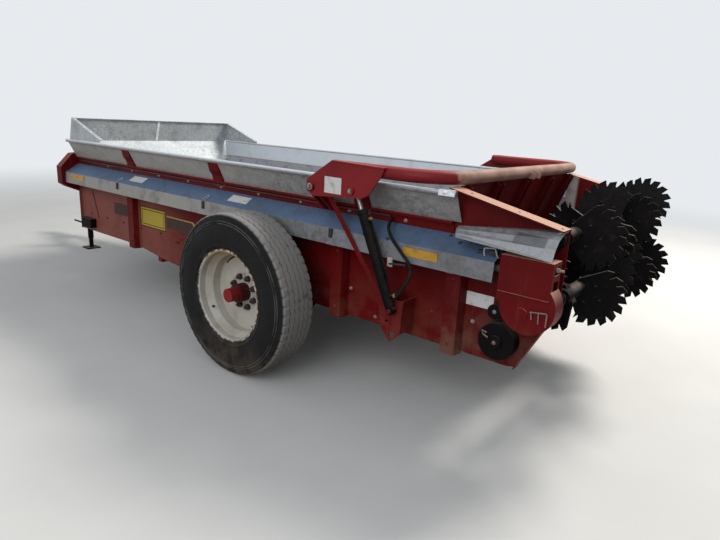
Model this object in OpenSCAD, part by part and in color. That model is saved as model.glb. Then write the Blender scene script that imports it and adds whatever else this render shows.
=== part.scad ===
// Towed manure spreader with two horizontal rotors, a lifting endgate and a floor chain.
// X points forward to the hitch, Y to the left, Z up. The origin is on the ground,
// under the middle of the whole machine.

/* [Wheels] */
// Outer diameter of the tyre
tyre_d = 1044; // [980:2:1080]
// Width of the tyre across its sidewalls
tyre_w = 286; // [260:2:290]
// Width of the tread
tread_w = 236; // [200:2:240]
// Diameter over the rim flanges
rim_d = 597; // [560:1:610]
// Width over the rim flanges
rim_w = 250; // [220:2:254]
// Distance from the middle plane to the rim's outer flange
rim_face_y = 1275; // [1270:1:1400]
// Distance from the rim's outer flange in to the wheel disc
disc_depth = 146; // [110:1:160]
// Radius of the circle of wheel nuts
nut_circle_r = 101.6; // [95:0.1:115]
// Radius of the spindle
spindle_r = 38; // [30:1:44]

/* [Box] */
// Half the width over the lower side sheets
side_y = 830; // [800:1:850]
// Thickness of the lower side sheets
sheet_t = 8; // [4:0.5:12]
// Front edge of the side sheets, ahead of the axle
front_x = 2800; // [2600:10:3000]
// Rear end of the side sheets, behind the axle
side_rear = 1312; // [1310:1:1320]
// Height of the lower edge of the box
box_bottom_z = 460; // [440:1:480]
// Height of the top of the floor
floor_z = 605; // [595:1:625]
// Thickness of the floor
floor_t = 8; // [5:1:12]
// Height of the foot of the flared top sides
flare_foot_z = 1154; // [1130:1:1180]
// Height of the middle of the rolled lip
lip_z = 1302; // [1290:1:1316]
// How far the flare leans out between its foot and its lip
flare_out = 74; // [60:1:80]
// Radius of the rolled lip
lip_r = 14; // [10:1:16]
// Thickness of the galvanised sheets
galv_t = 4; // [2:0.5:5]
// Height of the top of the front splash board
board_top_z = 1512; // [1420:1:1560]
// Lean of the front wall from upright, in degrees
front_lean = 22.8; // [18:0.1:24]
// Place of the foot of the front wall, ahead of the axle
wall_foot_x = 2430; // [2400:5:2460]

/* [Posts] */
// Width of a side post along the box
post_w = 110; // [80:1:130]
// Depth of a side post, out from the sheet
post_d = 64; // [40:1:70]
// Distance between side posts
post_pitch = 1180; // [1160:1:1190]
// Place of the front post, ahead of the axle
post_x = 1790; // [1780:1:1800]

/* [Driveline cover] */
// Outer face of the driveline cover, from the middle plane
cover_y = 965; // [955:1:967]
// Height of the lower edge of the cover
cover_low_z = 914; // [905:1:920]
// Height of the bend of the cover
cover_bend_z = 1012; // [1000:1:1020]
// Height of the inner top edge of the cover
cover_top_z = 1088; // [1080:1:1089]
// Rear end of the cover, behind the axle
cover_rear = 1610; // [1560:5:1615]

/* [Rear plates] */
// Rear edge of the rear side plates, behind the axle
plate_rear = 1900; // [1898:1:1905]
// Height of the front end of the sloping top flange
plate_front_z = 1333; // [1326:1:1336]
// Height of the rear end of the sloping top flange
plate_rear_z = 1205; // [1204:1:1215]

/* [Floor chain] */
// Place of the rear shaft of the floor chain, behind the axle
apron_x = 1660; // [1640:5:1670]
// Height of both shafts of the floor chain
apron_z = 565; // [560:1:568]
// Distance between the slats of the floor chain
slat_pitch = 330; // [320:5:332]

/* [Rotors] */
// Place of the upper rotor, behind the axle
upper_x = 1865; // [1860:1:1868]
// Height of the upper rotor
upper_z = 1155; // [1152:1:1158]
// Place of the lower rotor, behind the axle
lower_x = 1895; // [1893:1:1895]
// Height of the lower rotor
lower_z = 872; // [868:1:872]
// Radius from a rotor's axis to its longest tooth
rotor_r = 240; // [220:1:241]
// Radius of a rotor tube
rotor_tube_r = 36; // [30:1:37]
// Radius of a rotor's end shaft
rotor_shaft_r = 19; // [15:1:20]
// Distance between the paddles of a rotor
paddle_pitch = 186; // [180:1:190]
// Thickness of a paddle
paddle_t = 8; // [5:1:10]
// Skew of a paddle across its rotor, in degrees
paddle_skew = 14; // [4:0.5:16]
// Number of teeth on a paddle
teeth = 9; // [5:2:13]

/* [Endgate] */
// Place of the endgate's pivots, behind the axle
pivot_x = 486; // [480:1:490]
// Height of the endgate's pivots
pivot_z = 1252; // [1250:1:1254]
// Radius of the pivot pins
pivot_r = 16; // [12:0.5:18]
// Distance from the middle plane to the endgate's arm tubes
arm_y = 1000; // [998:1:1004]
// Radius of the endgate's bent tube
arm_r = 36; // [30:1:37]
// Height of the middle of the endgate's tube
arm_z = 1376; // [1372:1:1384]
// Bend radius of the endgate's tube
arm_bend = 250; // [200:5:260]
// Place of the endgate's cross tube, behind the axle
cross_x = 1330; // [1320:1:1335]
// Lean of the endgate's panel from upright, in degrees
gate_lean = 20.3; // [18:0.1:22]
// Gap between the endgate's panel and each side sheet
gate_gap = 16; // [12:1:40]

/* [Cylinders] */
// Radius of a cylinder's barrel
barrel_r = 27; // [22:1:28]
// Radius of a cylinder's rod
rod_r = 14; // [10:1:16]
// Distance from the middle plane to the cylinders
cyl_y = 1004; // [1000:1:1006]
// Place of the lower pins, behind the axle
foot_pin_x = 1066; // [1060:1:1070]
// Height of the lower pins
foot_pin_z = 639; // [634:1:644]
// Place of the upper pins, behind the axle
head_pin_x = 784; // [780:1:788]
// Height of the upper pins
head_pin_z = 1259; // [1255:1:1263]
// Radius of the cylinders' pins
cyl_pin_r = 12; // [8:0.5:13]

/* [Hitch] */
// Tip of the hitch, ahead of the axle
hitch_tip_x = 4500; // [4460:5:4600]
// Radius of the hole for the hitch pin
hitch_hole_r = 16.5; // [12:0.5:20]
// Height of the middle of the tongue's beams
tongue_z = 430; // [425:1:433]
// Height of the tongue's beams
tongue_h = 110; // [80:1:110]
// Width of the tongue's beams
tongue_w = 75; // [60:1:80]
// Place of the jack, ahead of the axle
jack_x = 3770; // [3700:5:3800]
// Distance from the middle plane to the jack
jack_y = 310; // [300:1:330]
// Radius of the jack's outer tube
jack_r = 30; // [24:1:34]

/* [Hidden] */
$fn = 64;
// Gap between flat or curved faces that must not bind
fit = 0.3;
// Running gap of a pin or shaft in its hole, on the radius
run = 0.05;
axle_z = tyre_d / 2;
wheel_y = rim_face_y - rim_w / 2;
inner_y = side_y - sheet_t;
rotor_rest_reach = lower_x + rotor_r * cos(paddle_skew) + paddle_t / 2 * sin(paddle_skew);
gate_half_w = inner_y - gate_gap;
mid_x = (hitch_tip_x - rotor_rest_reach) / 2;
lip_y = side_y + 12 + flare_out + lip_r;

red = [0.48, 0.09, 0.10];
galv = [0.66, 0.69, 0.72];
black = [0.10, 0.10, 0.11];
steel = [0.50, 0.48, 0.46];
rubber = [0.16, 0.16, 0.17];
cream = [0.86, 0.82, 0.70];

// Every module draws ahead of or behind the axle; this sets the machine's middle at zero
module placed() translate([-mid_x, 0, 0]) children();

// Flat plate in the XZ plane, from y to y + t
module plate_xz(y, t) translate([0, y + t, 0]) rotate([90, 0, 0]) linear_extrude(t) children();

// Flat plate in the YZ plane, from x to x + t
module plate_yz(x, t) translate([x, 0, 0]) rotate([90, 0, 90]) linear_extrude(t) children();

// Round bar along Y, from y0 to y1
module bar_y(x, z, r, y0, y1) translate([x, y1, z]) rotate([90, 0, 0]) cylinder(r = r, h = y1 - y0);

module right() mirror([0, 1, 0]) children();

// Bent sheet: a line of corner points given one thickness on its left-hand side
function unit(v) = v / norm(v);
function left_of(a, b) = let(d = unit(b - a)) [-d[1], d[0]];
function mitre(n, m) = (n + m) / (1 + n * m);
function side_line(p, t) = [for (i = [0:len(p) - 1])
    let(n = left_of(p[max(i - 1, 0)], p[max(i, 1)]),
        m = left_of(p[min(i, len(p) - 2)], p[min(i + 1, len(p) - 1)]))
    p[i] + t * mitre(n, m)];
function reversed(p) = [for (i = [len(p) - 1:-1:0]) p[i]];
module strip(p, t) polygon(concat(p, reversed(side_line(p, t))));

// Lower side sheet, deeper over the axle, with its pressed posts
gusset_z = 340;
gusset_x = [1800, 1400, 500, 350];
module side() {
    color(red) placed() {
        plate_xz(inner_y, sheet_t) difference() {
            polygon([[front_x, box_bottom_z], [front_x, 1090], [-side_rear, 1090],
                [-side_rear, box_bottom_z], [-gusset_x[3], box_bottom_z], [-gusset_x[3] + 100, gusset_z],
                [gusset_x[2], gusset_z], [gusset_x[1], box_bottom_z - 50], [gusset_x[0], box_bottom_z]]);
            translate([-beam / 2, beam_z - beam / 2]) square([beam, beam]);
        }
        for (x = post_places) post(x);
        translate([front_x - edge_t, side_y, box_bottom_z + 4]) cube([edge_t, 20, 1040 - box_bottom_z]);
    }
}
edge_t = 14;
post_places = [post_x, post_x - post_pitch, post_x - 2 * post_pitch];
last_post_x = -side_rear - fit - post_w / 2;
post_top_z = cover_low_z - 10;
module post(x) {
    translate([0, 0, box_bottom_z - 12]) linear_extrude(post_top_z - box_bottom_z + 12)
        polygon([[x - post_w / 2, side_y], [x - post_w / 2 + 12, side_y + post_d],
            [x + post_w / 2 - 12, side_y + post_d], [x + post_w / 2, side_y]]);
}

// Floor sheet with cross sills between the chain's two runs
sill_h = 60;
floor_rear = apron_x - 100;
sill_places = [2220, 1700, 1100, 500, -150, -800, -1400];
module floor_sheet() {
    color(steel) placed() {
        difference() {
            translate([-floor_rear, -inner_y, floor_z - floor_t])
                cube([wall_foot_x + floor_rear, 2 * inner_y, floor_t]);
            for (s = [1, -1]) translate([apron_front_x - 70, s * strand_y - 30, floor_z - floor_t - 1])
                cube([wall_foot_x - apron_front_x + 71, 60, floor_t + 2]);
        }
        for (x = sill_places)
            translate([x - 30, -inner_y, floor_z - floor_t - sill_h]) cube([60, 2 * inner_y, sill_h]);
    }
}

// Sheet that leans with the front wall: drawn as y and the distance up its slope
module leaning(t) translate([wall_foot_x, 0, floor_z]) rotate([0, front_lean, 0])
    rotate([90, 0, 90]) linear_extrude(t) children();
function up_slope(z) = (z - floor_z) / cos(front_lean);
function wall_x(z) = wall_foot_x + (z - floor_z) * tan(front_lean);
module front_wall() {
    color(galv) placed() leaning(galv_t)
        translate([-inner_y, 0]) square([2 * inner_y, up_slope(flare_foot_z) - 6]);
}

// Front splash board: a strip flared forward over the front wall, the board that leans back over the load,
// and a wing with a turned-in edge at each side
board_y = lip_y - 24;
board_foot_x = front_x - 5;
board_top_x = 2729;
wing_rear = 2222;
wing_low_z = lip_z + lip_r + fit;
wing_tip_z = lip_z + 36;
wing_rise = atan2(board_top_z - wing_tip_z, board_top_x - wing_rear);
function board_x(z) = board_foot_x - (z - lip_z) * (board_foot_x - board_top_x) / (board_top_z - lip_z);
function mirrored(p) = concat(p, [for (i = [len(p) - 1:-1:0]) [-p[i][0], p[i][1]]]);
module splash_board() {
    strip_foot_z = flare_foot_z - 4.4;
    color(galv) placed() {
        intersection() {
            plate_xz(-board_y, 2 * board_y) strip([[wall_x(strip_foot_z) + 0.8, strip_foot_z],
                [board_foot_x, lip_z], [board_top_x, board_top_z]], -galv_t);
            plate_yz(wall_foot_x, 500) polygon(mirrored([[inner_y, flare_foot_z - 20],
                [inner_y, flare_foot_z + 3], [flare_y(flare_foot_z + 5) - 4, flare_foot_z + 5],
                [flare_y(lip_z - 20) - 4, lip_z - 20], [board_y - 8, lip_z + 20],
                [board_y - 8, board_top_z]]));
        }
        for (s = [1, -1]) scale_y(s) {
            plate_xz(board_y - 10, galv_t) polygon([[wing_rear, wing_low_z], [board_x(wing_low_z) + 1, wing_low_z],
                [board_top_x + 1, board_top_z], [wing_rear, wing_tip_z]]);
            translate([wing_rear, board_y - 38, wing_tip_z - galv_t]) rotate([0, -wing_rise, 0])
                cube([(board_top_x - wing_rear) / cos(wing_rise), 29, galv_t]);
        }
        translate([board_top_x - 14, -board_y + 8, board_top_z - 5]) cube([16, 2 * board_y - 16, 5]);
    }
}
module scale_y(s) mirror([0, s < 0 ? 1 : 0, 0]) children();

// Flared top side: a leaning sheet with a rolled lip
flare_rear = 1356;
flare_slope = flare_out / (lip_z - flare_foot_z - 2);
function flare_y(z) = side_y + 12 + flare_slope * (z - flare_foot_z - 2);
function flare_outer_y(z) = flare_y(z) + galv_t * sqrt(1 + flare_slope * flare_slope);
module flare() {
    color(galv) placed() plate_yz(-flare_rear, front_x + flare_rear) {
        strip([[flare_y(flare_foot_z + 2), flare_foot_z + 2], [flare_y(lip_z), lip_z]], -galv_t);
        translate([lip_y - galv_t, lip_z]) circle(r = lip_r);
    }
}

// Top rail with the brackets that hold the flare
module rail() {
    color(red) placed() {
        plate_yz(-side_rear, front_x + side_rear)
            polygon([[inner_y, 1090], [side_y + 8, 1090], [side_y + 8, flare_foot_z - 14],
                [side_y + 34, flare_foot_z - 14], [side_y + 34, flare_foot_z - fit],
                [inner_y, flare_foot_z - fit]]);
        for (x = flare_bracket_places) translate([x, 0, 0]) flare_bracket();
    }
}
flare_bracket_places = [post_x, post_x - post_pitch, -720];
module flare_bracket() {
    plate_yz(-55, 110) polygon([[flare_outer_y(flare_foot_z) + 2, flare_foot_z - fit],
        [side_y + 34, flare_foot_z - fit], [flare_outer_y(flare_foot_z + 40) + 8, flare_foot_z + 40],
        [flare_outer_y(flare_foot_z + 74) + 16, flare_foot_z + 74],
        [flare_outer_y(lip_z - 20) + 3, lip_z - 20], [flare_outer_y(lip_z - 20) + fit, lip_z - 20]]);
}

// Axle beam with the plates that carry the spindles
beam = 120;
beam_z = box_bottom_z - 55;
spindle_foot_y = 905;
module axle() {
    color(red) placed() {
        translate([-beam / 2, -spindle_foot_y, beam_z - beam / 2]) cube([beam, 2 * spindle_foot_y, beam]);
        for (s = [1, -1]) scale_y(s) {
            plate_xz(spindle_foot_y, 34) polygon([[-95, beam_z - 62], [95, beam_z - 62],
                [70, axle_z + 72], [-70, axle_z + 72]]);
            bar_y(0, axle_z, spindle_r, spindle_foot_y + 34, wheel_y + 60);
        }
    }
}

// A-shaped tongue with the hitch clevis at its tip
tongue_rear_x = 1500;
tongue_tip_x = hitch_tip_x - 320;
tongue_rear_y = 520;
tongue_tip_y = 90;
function tongue_mid_y(x) = tongue_rear_y
    - (x - tongue_rear_x) * (tongue_rear_y - tongue_tip_y) / (tongue_tip_x - tongue_rear_x);
ear_t = 24;
ear_gap = 62;
hitch_hole_x = hitch_tip_x - 55;
module tongue() {
    color(red) placed() {
        for (s = [1, -1]) scale_y(s)
            translate([0, 0, tongue_z - tongue_h / 2]) linear_extrude(tongue_h)
                polygon([[tongue_rear_x, tongue_rear_y - tongue_w / 2], [tongue_rear_x, tongue_rear_y + tongue_w / 2],
                    [tongue_tip_x, tongue_tip_y + tongue_w / 2], [tongue_tip_x, tongue_tip_y - tongue_w / 2]]);
        translate([tongue_tip_x - 90, -tongue_tip_y, tongue_z - tongue_h / 2])
            cube([90, 2 * tongue_tip_y, tongue_h]);
        for (z = [tongue_z + ear_gap / 2, tongue_z - ear_gap / 2 - ear_t])
            translate([0, 0, z]) linear_extrude(ear_t) difference() {
                hull() {
                    translate([hitch_hole_x, 0]) circle(r = hitch_tip_x - hitch_hole_x);
                    translate([tongue_tip_x - 10, -60]) square([10, 120]);
                }
                translate([hitch_hole_x, 0]) circle(r = hitch_hole_r);
            }
        translate([tongue_tip_x - 1, -60, tongue_z - ear_gap / 2 - ear_t])
            cube([60, 120, 2 * ear_t + ear_gap]);
    }
}

// Cross beam behind the tongue and the flat bar over it that tie it to the side sheets
module cross_beams() {
    color(red) placed() {
        translate([tongue_rear_x - fit - 60, -inner_y + fit, tongue_z - tongue_h / 2])
            cube([60, 2 * (inner_y - fit), tongue_h]);
        translate([wall_foot_x - 80, -inner_y + fit, tongue_z + tongue_h / 2 + fit])
            cube([80, 2 * (inner_y - fit), apron_z - strand_r - tongue_z - tongue_h / 2 - 9]);
    }
}

// Parking jack on the tongue's left beam
jack_foot_t = 12;
jack_tube_low = 120;
jack_top_z = 600;
module jack() {
    color(black) placed() {
        translate([jack_x, jack_y, jack_tube_low]) cylinder(r = jack_r, h = jack_top_z - jack_tube_low);
        translate([jack_x, jack_y, jack_foot_t]) cylinder(r = jack_r - 6, h = jack_tube_low - jack_foot_t);
        translate([jack_x - 75, jack_y - 75, 0]) cube([150, 150, jack_foot_t]);
        translate([jack_x, jack_y, jack_top_z]) cylinder(r = jack_r + 6, h = 40);
        translate([jack_x - 30, jack_y - 6, jack_top_z + 14]) cube([30 + 6, 12, 12]);
        translate([jack_x - 130, jack_y - 6, jack_top_z + 14]) cube([110, 12, 12]);
        translate([jack_x - 130, jack_y - 6, jack_top_z + 14]) cube([14, 12, 70]);
        translate([0, 0, tongue_z - 40]) linear_extrude(80)
            polygon([for (x = [jack_x - 40, jack_x + 40]) [x, tongue_mid_y(x) + tongue_w / 2 + fit],
                [jack_x + 40, jack_y], [jack_x - 40, jack_y]]);
    }
}

// Bent cover over the driveline, on the left side
module driveline_cover() {
    color(galv) placed() {
        plate_yz(-cover_rear, front_x + cover_rear)
            strip([[side_y + 3, cover_top_z], [cover_y - 6, cover_bend_z], [cover_y, cover_low_z],
                [cover_y - 22, cover_low_z - 4]], -galv_t);
        for (x = concat(post_places, [last_post_x]))
            translate([x - 20, side_y + fit, post_top_z + fit]) cube([40, cover_y - 24 - side_y, 4]);
    }
}

// Driveline shaft under the cover
driveline_y = 900;
driveline_z = 975;
driveline_r = 18;
shaft_rear = cover_rear + 70;
module driveline() {
    color(steel) placed() {
        translate([-shaft_rear, driveline_y, driveline_z]) rotate([0, 90, 0])
            cylinder(r = driveline_r, h = front_x + shaft_rear + 50);
        for (x = concat(post_places, [last_post_x]))
            translate([x - 18, driveline_y - 28, post_top_z + 4 + 2 * fit])
                difference() {
                    cube([36, 56, driveline_z + 34 - post_top_z - 4]);
                    translate([-1, 28, driveline_z - post_top_z - 4 - 2 * fit])
                        rotate([0, 90, 0]) cylinder(r = driveline_r + run, h = 38);
                }
    }
}

// Guard of the front drive, from the PTO input to the driveline
case_x0 = front_x + fit;
case_x1 = front_x + 92;
pto_z = 640;
module front_case() {
    color(red) placed() {
        difference() {
            plate_yz(case_x0, case_x1 - case_x0) {
                polygon([[1000, 900], [1000, 1060], [885, 1180], [640, 1205], [-60, 745],
                    [-95, 560], [0, 520], [60, 520], [700, 764], [950, 868]]);
                translate([0, pto_z]) circle(r = 120);
            }
            translate([case_x0 - 1, 0, pto_z]) rotate([0, 90, 0]) cylinder(r = 30, h = 200);
            translate([case_x0 - 1, driveline_y, driveline_z]) rotate([0, 90, 0])
                cylinder(r = 30, h = 61);
        }
    }
}

// Input shaft of the front drive, where the tractor's drive shaft is pushed on
pto_r = 17.4;
pto_len = 96;
pto_ring = 26;
module pto_input() {
    color(steel) placed() {
        translate([case_x0 - 40, 0, pto_z]) rotate([0, 90, 0])
            cylinder(r = pto_r + 5, h = case_x1 - case_x0 + 42);
        translate([case_x1 + fit, 0, pto_z]) rotate([0, 90, 0]) cylinder(r = 60, h = pto_ring);
        translate([case_x1, 0, pto_z]) rotate([0, 90, 0]) cylinder(r = pto_r, h = pto_ring + fit + pto_len);
    }
}

// Rear side plate with its sloping top flange and the flange of its lower rear edge
rear_mid_z = 800;
rear_low_x = 1735;
flange_w = 95;
flange_holes = [1414, 1668, 1878];
function flange_z(x) = plate_front_z
    - (x - side_rear) * (plate_front_z - plate_rear_z) / (plate_rear - side_rear);
module rear_plate() {
    front = -side_rear - fit;
    color(red) placed() {
        difference() {
            plate_xz(inner_y, sheet_t)
                polygon([[front, box_bottom_z], [front, plate_front_z], [-plate_rear, plate_rear_z],
                    [-plate_rear, rear_mid_z], [-rear_low_x, box_bottom_z + 10],
                    [-rear_low_x + 60, box_bottom_z]]);
            for (p = rotor_places)
                bar_y(-p[0], p[1], rotor_shaft_r + 6, inner_y - 1, side_y + 1);
            bar_y(-apron_x, apron_z, apron_shaft_r + 6, inner_y - 1, side_y + 1);
        }
        difference() {
            plate_xz(side_y, flange_w) polygon([[front, flange_z(side_rear) - 6], [front, flange_z(side_rear)],
                [-plate_rear, plate_rear_z], [-plate_rear, plate_rear_z - 6]]);
            for (x = flange_holes) translate([-x, side_y + flange_w / 2, flange_z(x) - 20])
                cylinder(r = 7, h = 40);
        }
        plate_xz(side_y, 36) polygon([[-plate_rear, rear_mid_z], [-rear_low_x, box_bottom_z + 10],
            [-rear_low_x + 7, box_bottom_z + 10], [-plate_rear + 6, rear_mid_z + 8]]);
        post(last_post_x);
    }
}

// Guard over the rotor drive, round at its foot
case_y = 1000;
case_mid_x = 1807;
case_mid_z = 850;
case_r = 134;
case_top_z = 1070;
module rear_case_outline(grow) {
    translate([-case_mid_x, case_mid_z]) circle(r = case_r + grow);
    translate([-plate_rear - 6 - grow, case_mid_z]) square([250 + 2 * grow, case_top_z - case_mid_z + grow]);
}
module rear_case() {
    rear = plate_rear + 6;
    color(red) placed() {
        difference() {
            plate_xz(case_y - case_w, case_w) rear_case_outline(0);
            plate_xz(case_y - case_w - 1, case_w - 3) rear_case_outline(-4);
            for (w = case_windows) translate([-rear - 1, case_y - case_w + 14, w[0]])
                cube([8, case_w - 40, w[1]]);
            translate([-case_mid_x, driveline_y, driveline_z]) rotate([0, 90, 0]) cylinder(r = 30, h = 200);
        }
        for (p = case_studs) bar_y(-p[0], p[1], 11, side_y + fit, case_y - 2);
        bar_y(-case_boss[0], case_boss[1], 33, case_y - 1, case_y + 5);
        plate_xz(case_y - 1, 7) translate([-rear, case_mid_z + 42]) square([rear - case_mid_x + 146, 6]);
    }
}
case_w = 100;
// Foot and height of each opening in the rear face
case_windows = [[890, 92], [1010, 40]];
// Place behind the axle and height of each stud that holds the guard
case_studs = [[1795, 740], [1712, 1020], [1860, 1010]];
// Place behind the axle and height of the round boss on its face
case_boss = [1786, 808];

// Galvanised hood over the top of the rear drive
deflector_rear = 1896;
deflector_rows = [
    // out from the plate, front end behind the axle, height at the front end, height at the rear end
    [0.3, 1352, 1132, 1194], [60, 1366, 1140, 1190], [116, 1384, 1134, 1166], [154, 1402, 1120, 1124],
    [176, 1416, 1108, 1076]];
module deflector() {
    color(galv) placed() for (i = [0:len(deflector_rows) - 2])
        deflector_strip(deflector_rows[i], deflector_rows[i + 1]);
}
module deflector_strip(a, b) {
    p = [[-a[1], side_y + a[0], a[2]], [-deflector_rear, side_y + a[0], a[3]],
        [-deflector_rear, side_y + b[0], b[3]], [-b[1], side_y + b[0], b[2]]];
    polyhedron(concat(p, [for (q = p) q + [0, 0, galv_t]]),
        [[0, 1, 2], [0, 2, 3], [4, 6, 5], [4, 7, 6], [0, 4, 5], [0, 5, 1], [1, 5, 6], [1, 6, 2],
         [2, 6, 7], [2, 7, 3], [3, 7, 4], [3, 4, 0]]);
}

// Floor chain: two strands and their cross slats, around the front and rear shafts
apron_shaft_r = 20;
apron_front_x = 2340;
strand_r = 52;
strand_t = 10;
slat_h = 24;
strand_y = 560;
slat_w = 36;
slat_rear = apron_x - 160;
// Number of slats on each run
slats = 12;
link_pitch = 132;
links = 29;
module apron() {
    color(steel) placed() {
        for (s = [1, -1]) scale_y(s) {
            plate_xz(strand_y - 14, 28) difference() {
                loop_outline(strand_r);
                loop_outline(strand_r - strand_t);
            }
            plate_xz(strand_y - 24, 48) for (i = [0:links - 1])
                translate([i * link_pitch - apron_x + 40, apron_z + strand_r - strand_t + 1])
                    square([20, strand_t - 2]);
        }
        for (i = [0:slats - 1]) {
            translate([i * slat_pitch - slat_rear, -gate_half_w + 10, floor_z + fit]) slat();
            translate([i * slat_pitch - slat_rear + 140, -gate_half_w + 10, apron_z - strand_r - 3]) slat();
        }
    }
}
module slat() {
    cube([slat_w, 2 * gate_half_w - 20, slat_h]);
}
module loop_outline(r) hull() {
    translate([-apron_x, apron_z]) circle(r = r);
    translate([apron_front_x, apron_z]) circle(r = r);
}

// Shafts and sprockets of the floor chain
module apron_shafts() {
    color(steel) placed() for (x = [-apron_x, apron_front_x]) {
        bar_y(x, apron_z, apron_shaft_r, -inner_y + fit, x < 0 ? side_y + 30 : inner_y - fit);
        for (s = [1, -1]) scale_y(s)
            bar_y(x, apron_z, strand_r - strand_t - fit, strand_y - 10, strand_y + 10);
    }
}

// Gearbox of the floor chain with its round cover, and the small idler cap above it
gearbox_r = 95;
// The case stands a little ahead of the shaft that it turns, and above it
gearbox_at = [20 - apron_x, apron_z + 36];
module apron_gearbox() {
    color(black) placed() {
        difference() {
            union() {
                bar_y(gearbox_at[0], gearbox_at[1], gearbox_r, side_y + fit, side_y + 74);
                bar_y(gearbox_at[0], gearbox_at[1], 34, side_y + 74, side_y + 92);
            }
            bar_y(-apron_x, apron_z, apron_shaft_r + run, side_y, side_y + 50);
        }
        bar_y(-apron_x + 48, apron_z + 184, 38, side_y + fit, side_y + 64);
    }
}

// Bearings of both rotors on the rear plates
rotor_places = [[upper_x, upper_z], [lower_x, lower_z]];
bearing_t = 34;
// Rows: radius, place ahead of the bearing and height over it, of each lobe of the flange
bearing_lobes = [[33, 0, 0], [16, 45, -30], [16, 12, -46]];
module rotor_bearings() {
    color(black) placed() for (s = [1, -1], p = rotor_places) scale_y(s) difference() {
        union() {
            hull() for (l = bearing_lobes) bar_y(-p[0] + l[1], p[1] + l[2], l[0], side_y, side_y + 12);
            bar_y(-p[0], p[1], 30, side_y + 11, side_y + bearing_t);
        }
        bar_y(-p[0], p[1], rotor_shaft_r + run, side_y - 1, side_y + bearing_t + 1);
    }
}

// Brackets that carry the endgate's pivots, with their pins
mount_y = 1034;
module gate_mounts() {
    color(red) placed() for (s = [1, -1]) scale_y(s) {
        for (x = [-pivot_x - 34, -pivot_x + 22])
            plate_yz(x, 12) polygon([[side_y + 34 + fit, 1100], [side_y + 34 + fit, flare_foot_z - 20],
                [lip_y - 34, flare_foot_z + 40], [lip_y - 8, lip_z - lip_r - 20], [mount_y, pivot_z + 30],
                [mount_y, pivot_z - 34], [mount_y - 30, pivot_z - 60], [side_y + 60, 1100]]);
        difference() {
            bar_y(-pivot_x, pivot_z, 30, lip_y + 4, mount_y);
            bar_y(-pivot_x, pivot_z, pivot_r, lip_y, mount_y + 1);
        }
        bar_y(-pivot_x, pivot_z, pivot_r, lip_y + 4, arm_plate_y + arm_plate_t + 10);
        bar_y(-pivot_x, pivot_z, pivot_r + 12, arm_plate_y + arm_plate_t + fit, arm_plate_y + arm_plate_t + 10);
    }
}

// Brackets on the side sheets that carry the cylinders' feet, with the straps up to the gate mounts
foot_y = 957;
foot_t = 10;
module cylinder_feet() {
    color(red) placed() for (s = [1, -1]) scale_y(s) {
        difference() {
            plate_xz(foot_y, foot_t) polygon([[-955, 640], [-1000, 690], [-1120, 690], [-1110, 500], [-1045, 440], [-985, 505]]);
            bar_y(-1018, 556, 11, foot_y - 1, foot_y + foot_t + 1);
            bar_y(-1055, 488, 18, foot_y - 1, foot_y + foot_t + 1);
        }
        plate_yz(-1110, 8) polygon([[side_y, 500], [side_y, 690], [foot_y, 690], [foot_y, 500]]);
        plate_yz(-998, 8) polygon([[side_y, 540], [side_y, 690], [foot_y, 690], [foot_y, 540]]);
        bar_y(-foot_pin_x, foot_pin_z, cyl_pin_r, foot_y + foot_t, cyl_y + 26);
        plate_xz(foot_y + foot_t, 8) polygon([[-984, 645], [-1012, 645], [-pivot_x - 64, pivot_z - 14],
            [-pivot_x - 34 - fit, pivot_z - 14], [-pivot_x - 34 - fit, pivot_z - 24]]);
    }
}

// Flow control valve with its lever, on the front lower corner of the left side
module control_valve() {
    color(black) placed() {
        translate([2535, side_y + fit, 500]) cube([180, 58, 84]);
        translate([2715, side_y + 30, 520]) rotate([0, 90, 0]) cylinder(r = 8, h = 200);
    }
}

// Tyre, rim and hub of one wheel; the section is drawn as radius and distance from the wheel's middle
bead_r = 286;
module wheel_turn() translate([0, wheel_y, axle_z]) rotate([-90, 0, 0]) rotate_extrude($fn = 96) children();
module tyre() {
    half = tyre_w / 2;
    tread = tread_w / 2;
    top = tyre_d / 2;
    color(rubber) placed() wheel_turn() polygon([
        [bead_r + fit, -rim_w / 2 + 16], [bead_r + 30, -rim_w / 2 - 2], [bead_r + 60, -half + 6],
        [bead_r + 105, -half], [bead_r + 160, -half + 7], [top - 34, -tread - 10], [top - 10, -tread - 2],
        [top, -tread + 14], [top, tread - 14], [top - 10, tread + 2], [top - 34, tread + 10],
        [bead_r + 160, half - 7], [bead_r + 105, half], [bead_r + 60, half - 6],
        [bead_r + 30, rim_w / 2 + 2], [bead_r + fit, rim_w / 2 - 16]]);
}
rim_t = 5;
module rim() {
    edge = rim_w / 2;
    disc_in = edge - disc_depth;
    well_r = bead_r - 34;
    color(cream) placed() {
        difference() {
            wheel_turn() {
                strip([[rim_d / 2, -edge], [rim_d / 2 - 12, -edge], [bead_r - rim_t, -edge + 6],
                    [bead_r - rim_t, -edge + 46], [well_r, -edge + 70], [well_r, edge - 90],
                    [bead_r - rim_t, edge - 46], [bead_r - rim_t, edge - 6],
                    [rim_d / 2 - 12, edge], [rim_d / 2, edge]], -rim_t);
                translate([60, disc_in - 12]) square([well_r - 58, 12]);
            }
            for (i = [0:7]) translate([0, wheel_y, axle_z]) rotate([0, 22.5 + i * 45, 0])
                translate([nut_circle_r, disc_in, 0]) rotate([90, 0, 0]) cylinder(r = 11, h = 60, center = true);
            for (a = [-57, 123]) translate([0, wheel_y + disc_in - 30, axle_z]) rotate([-90, 0, 0])
                rotate([0, 0, a - 17]) rotate_extrude(angle = 34) translate([well_r - 22, 0]) square([14, 60]);
            translate([0, wheel_y + edge - 68, axle_z]) rotate([0, 32, 0]) translate([(well_r + bead_r) / 2, 0, 0])
                rotate([0, 0, -33]) rotate([0, 90, 0]) cylinder(r = 8, h = 40, center = true);
        }
    }
}
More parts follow.
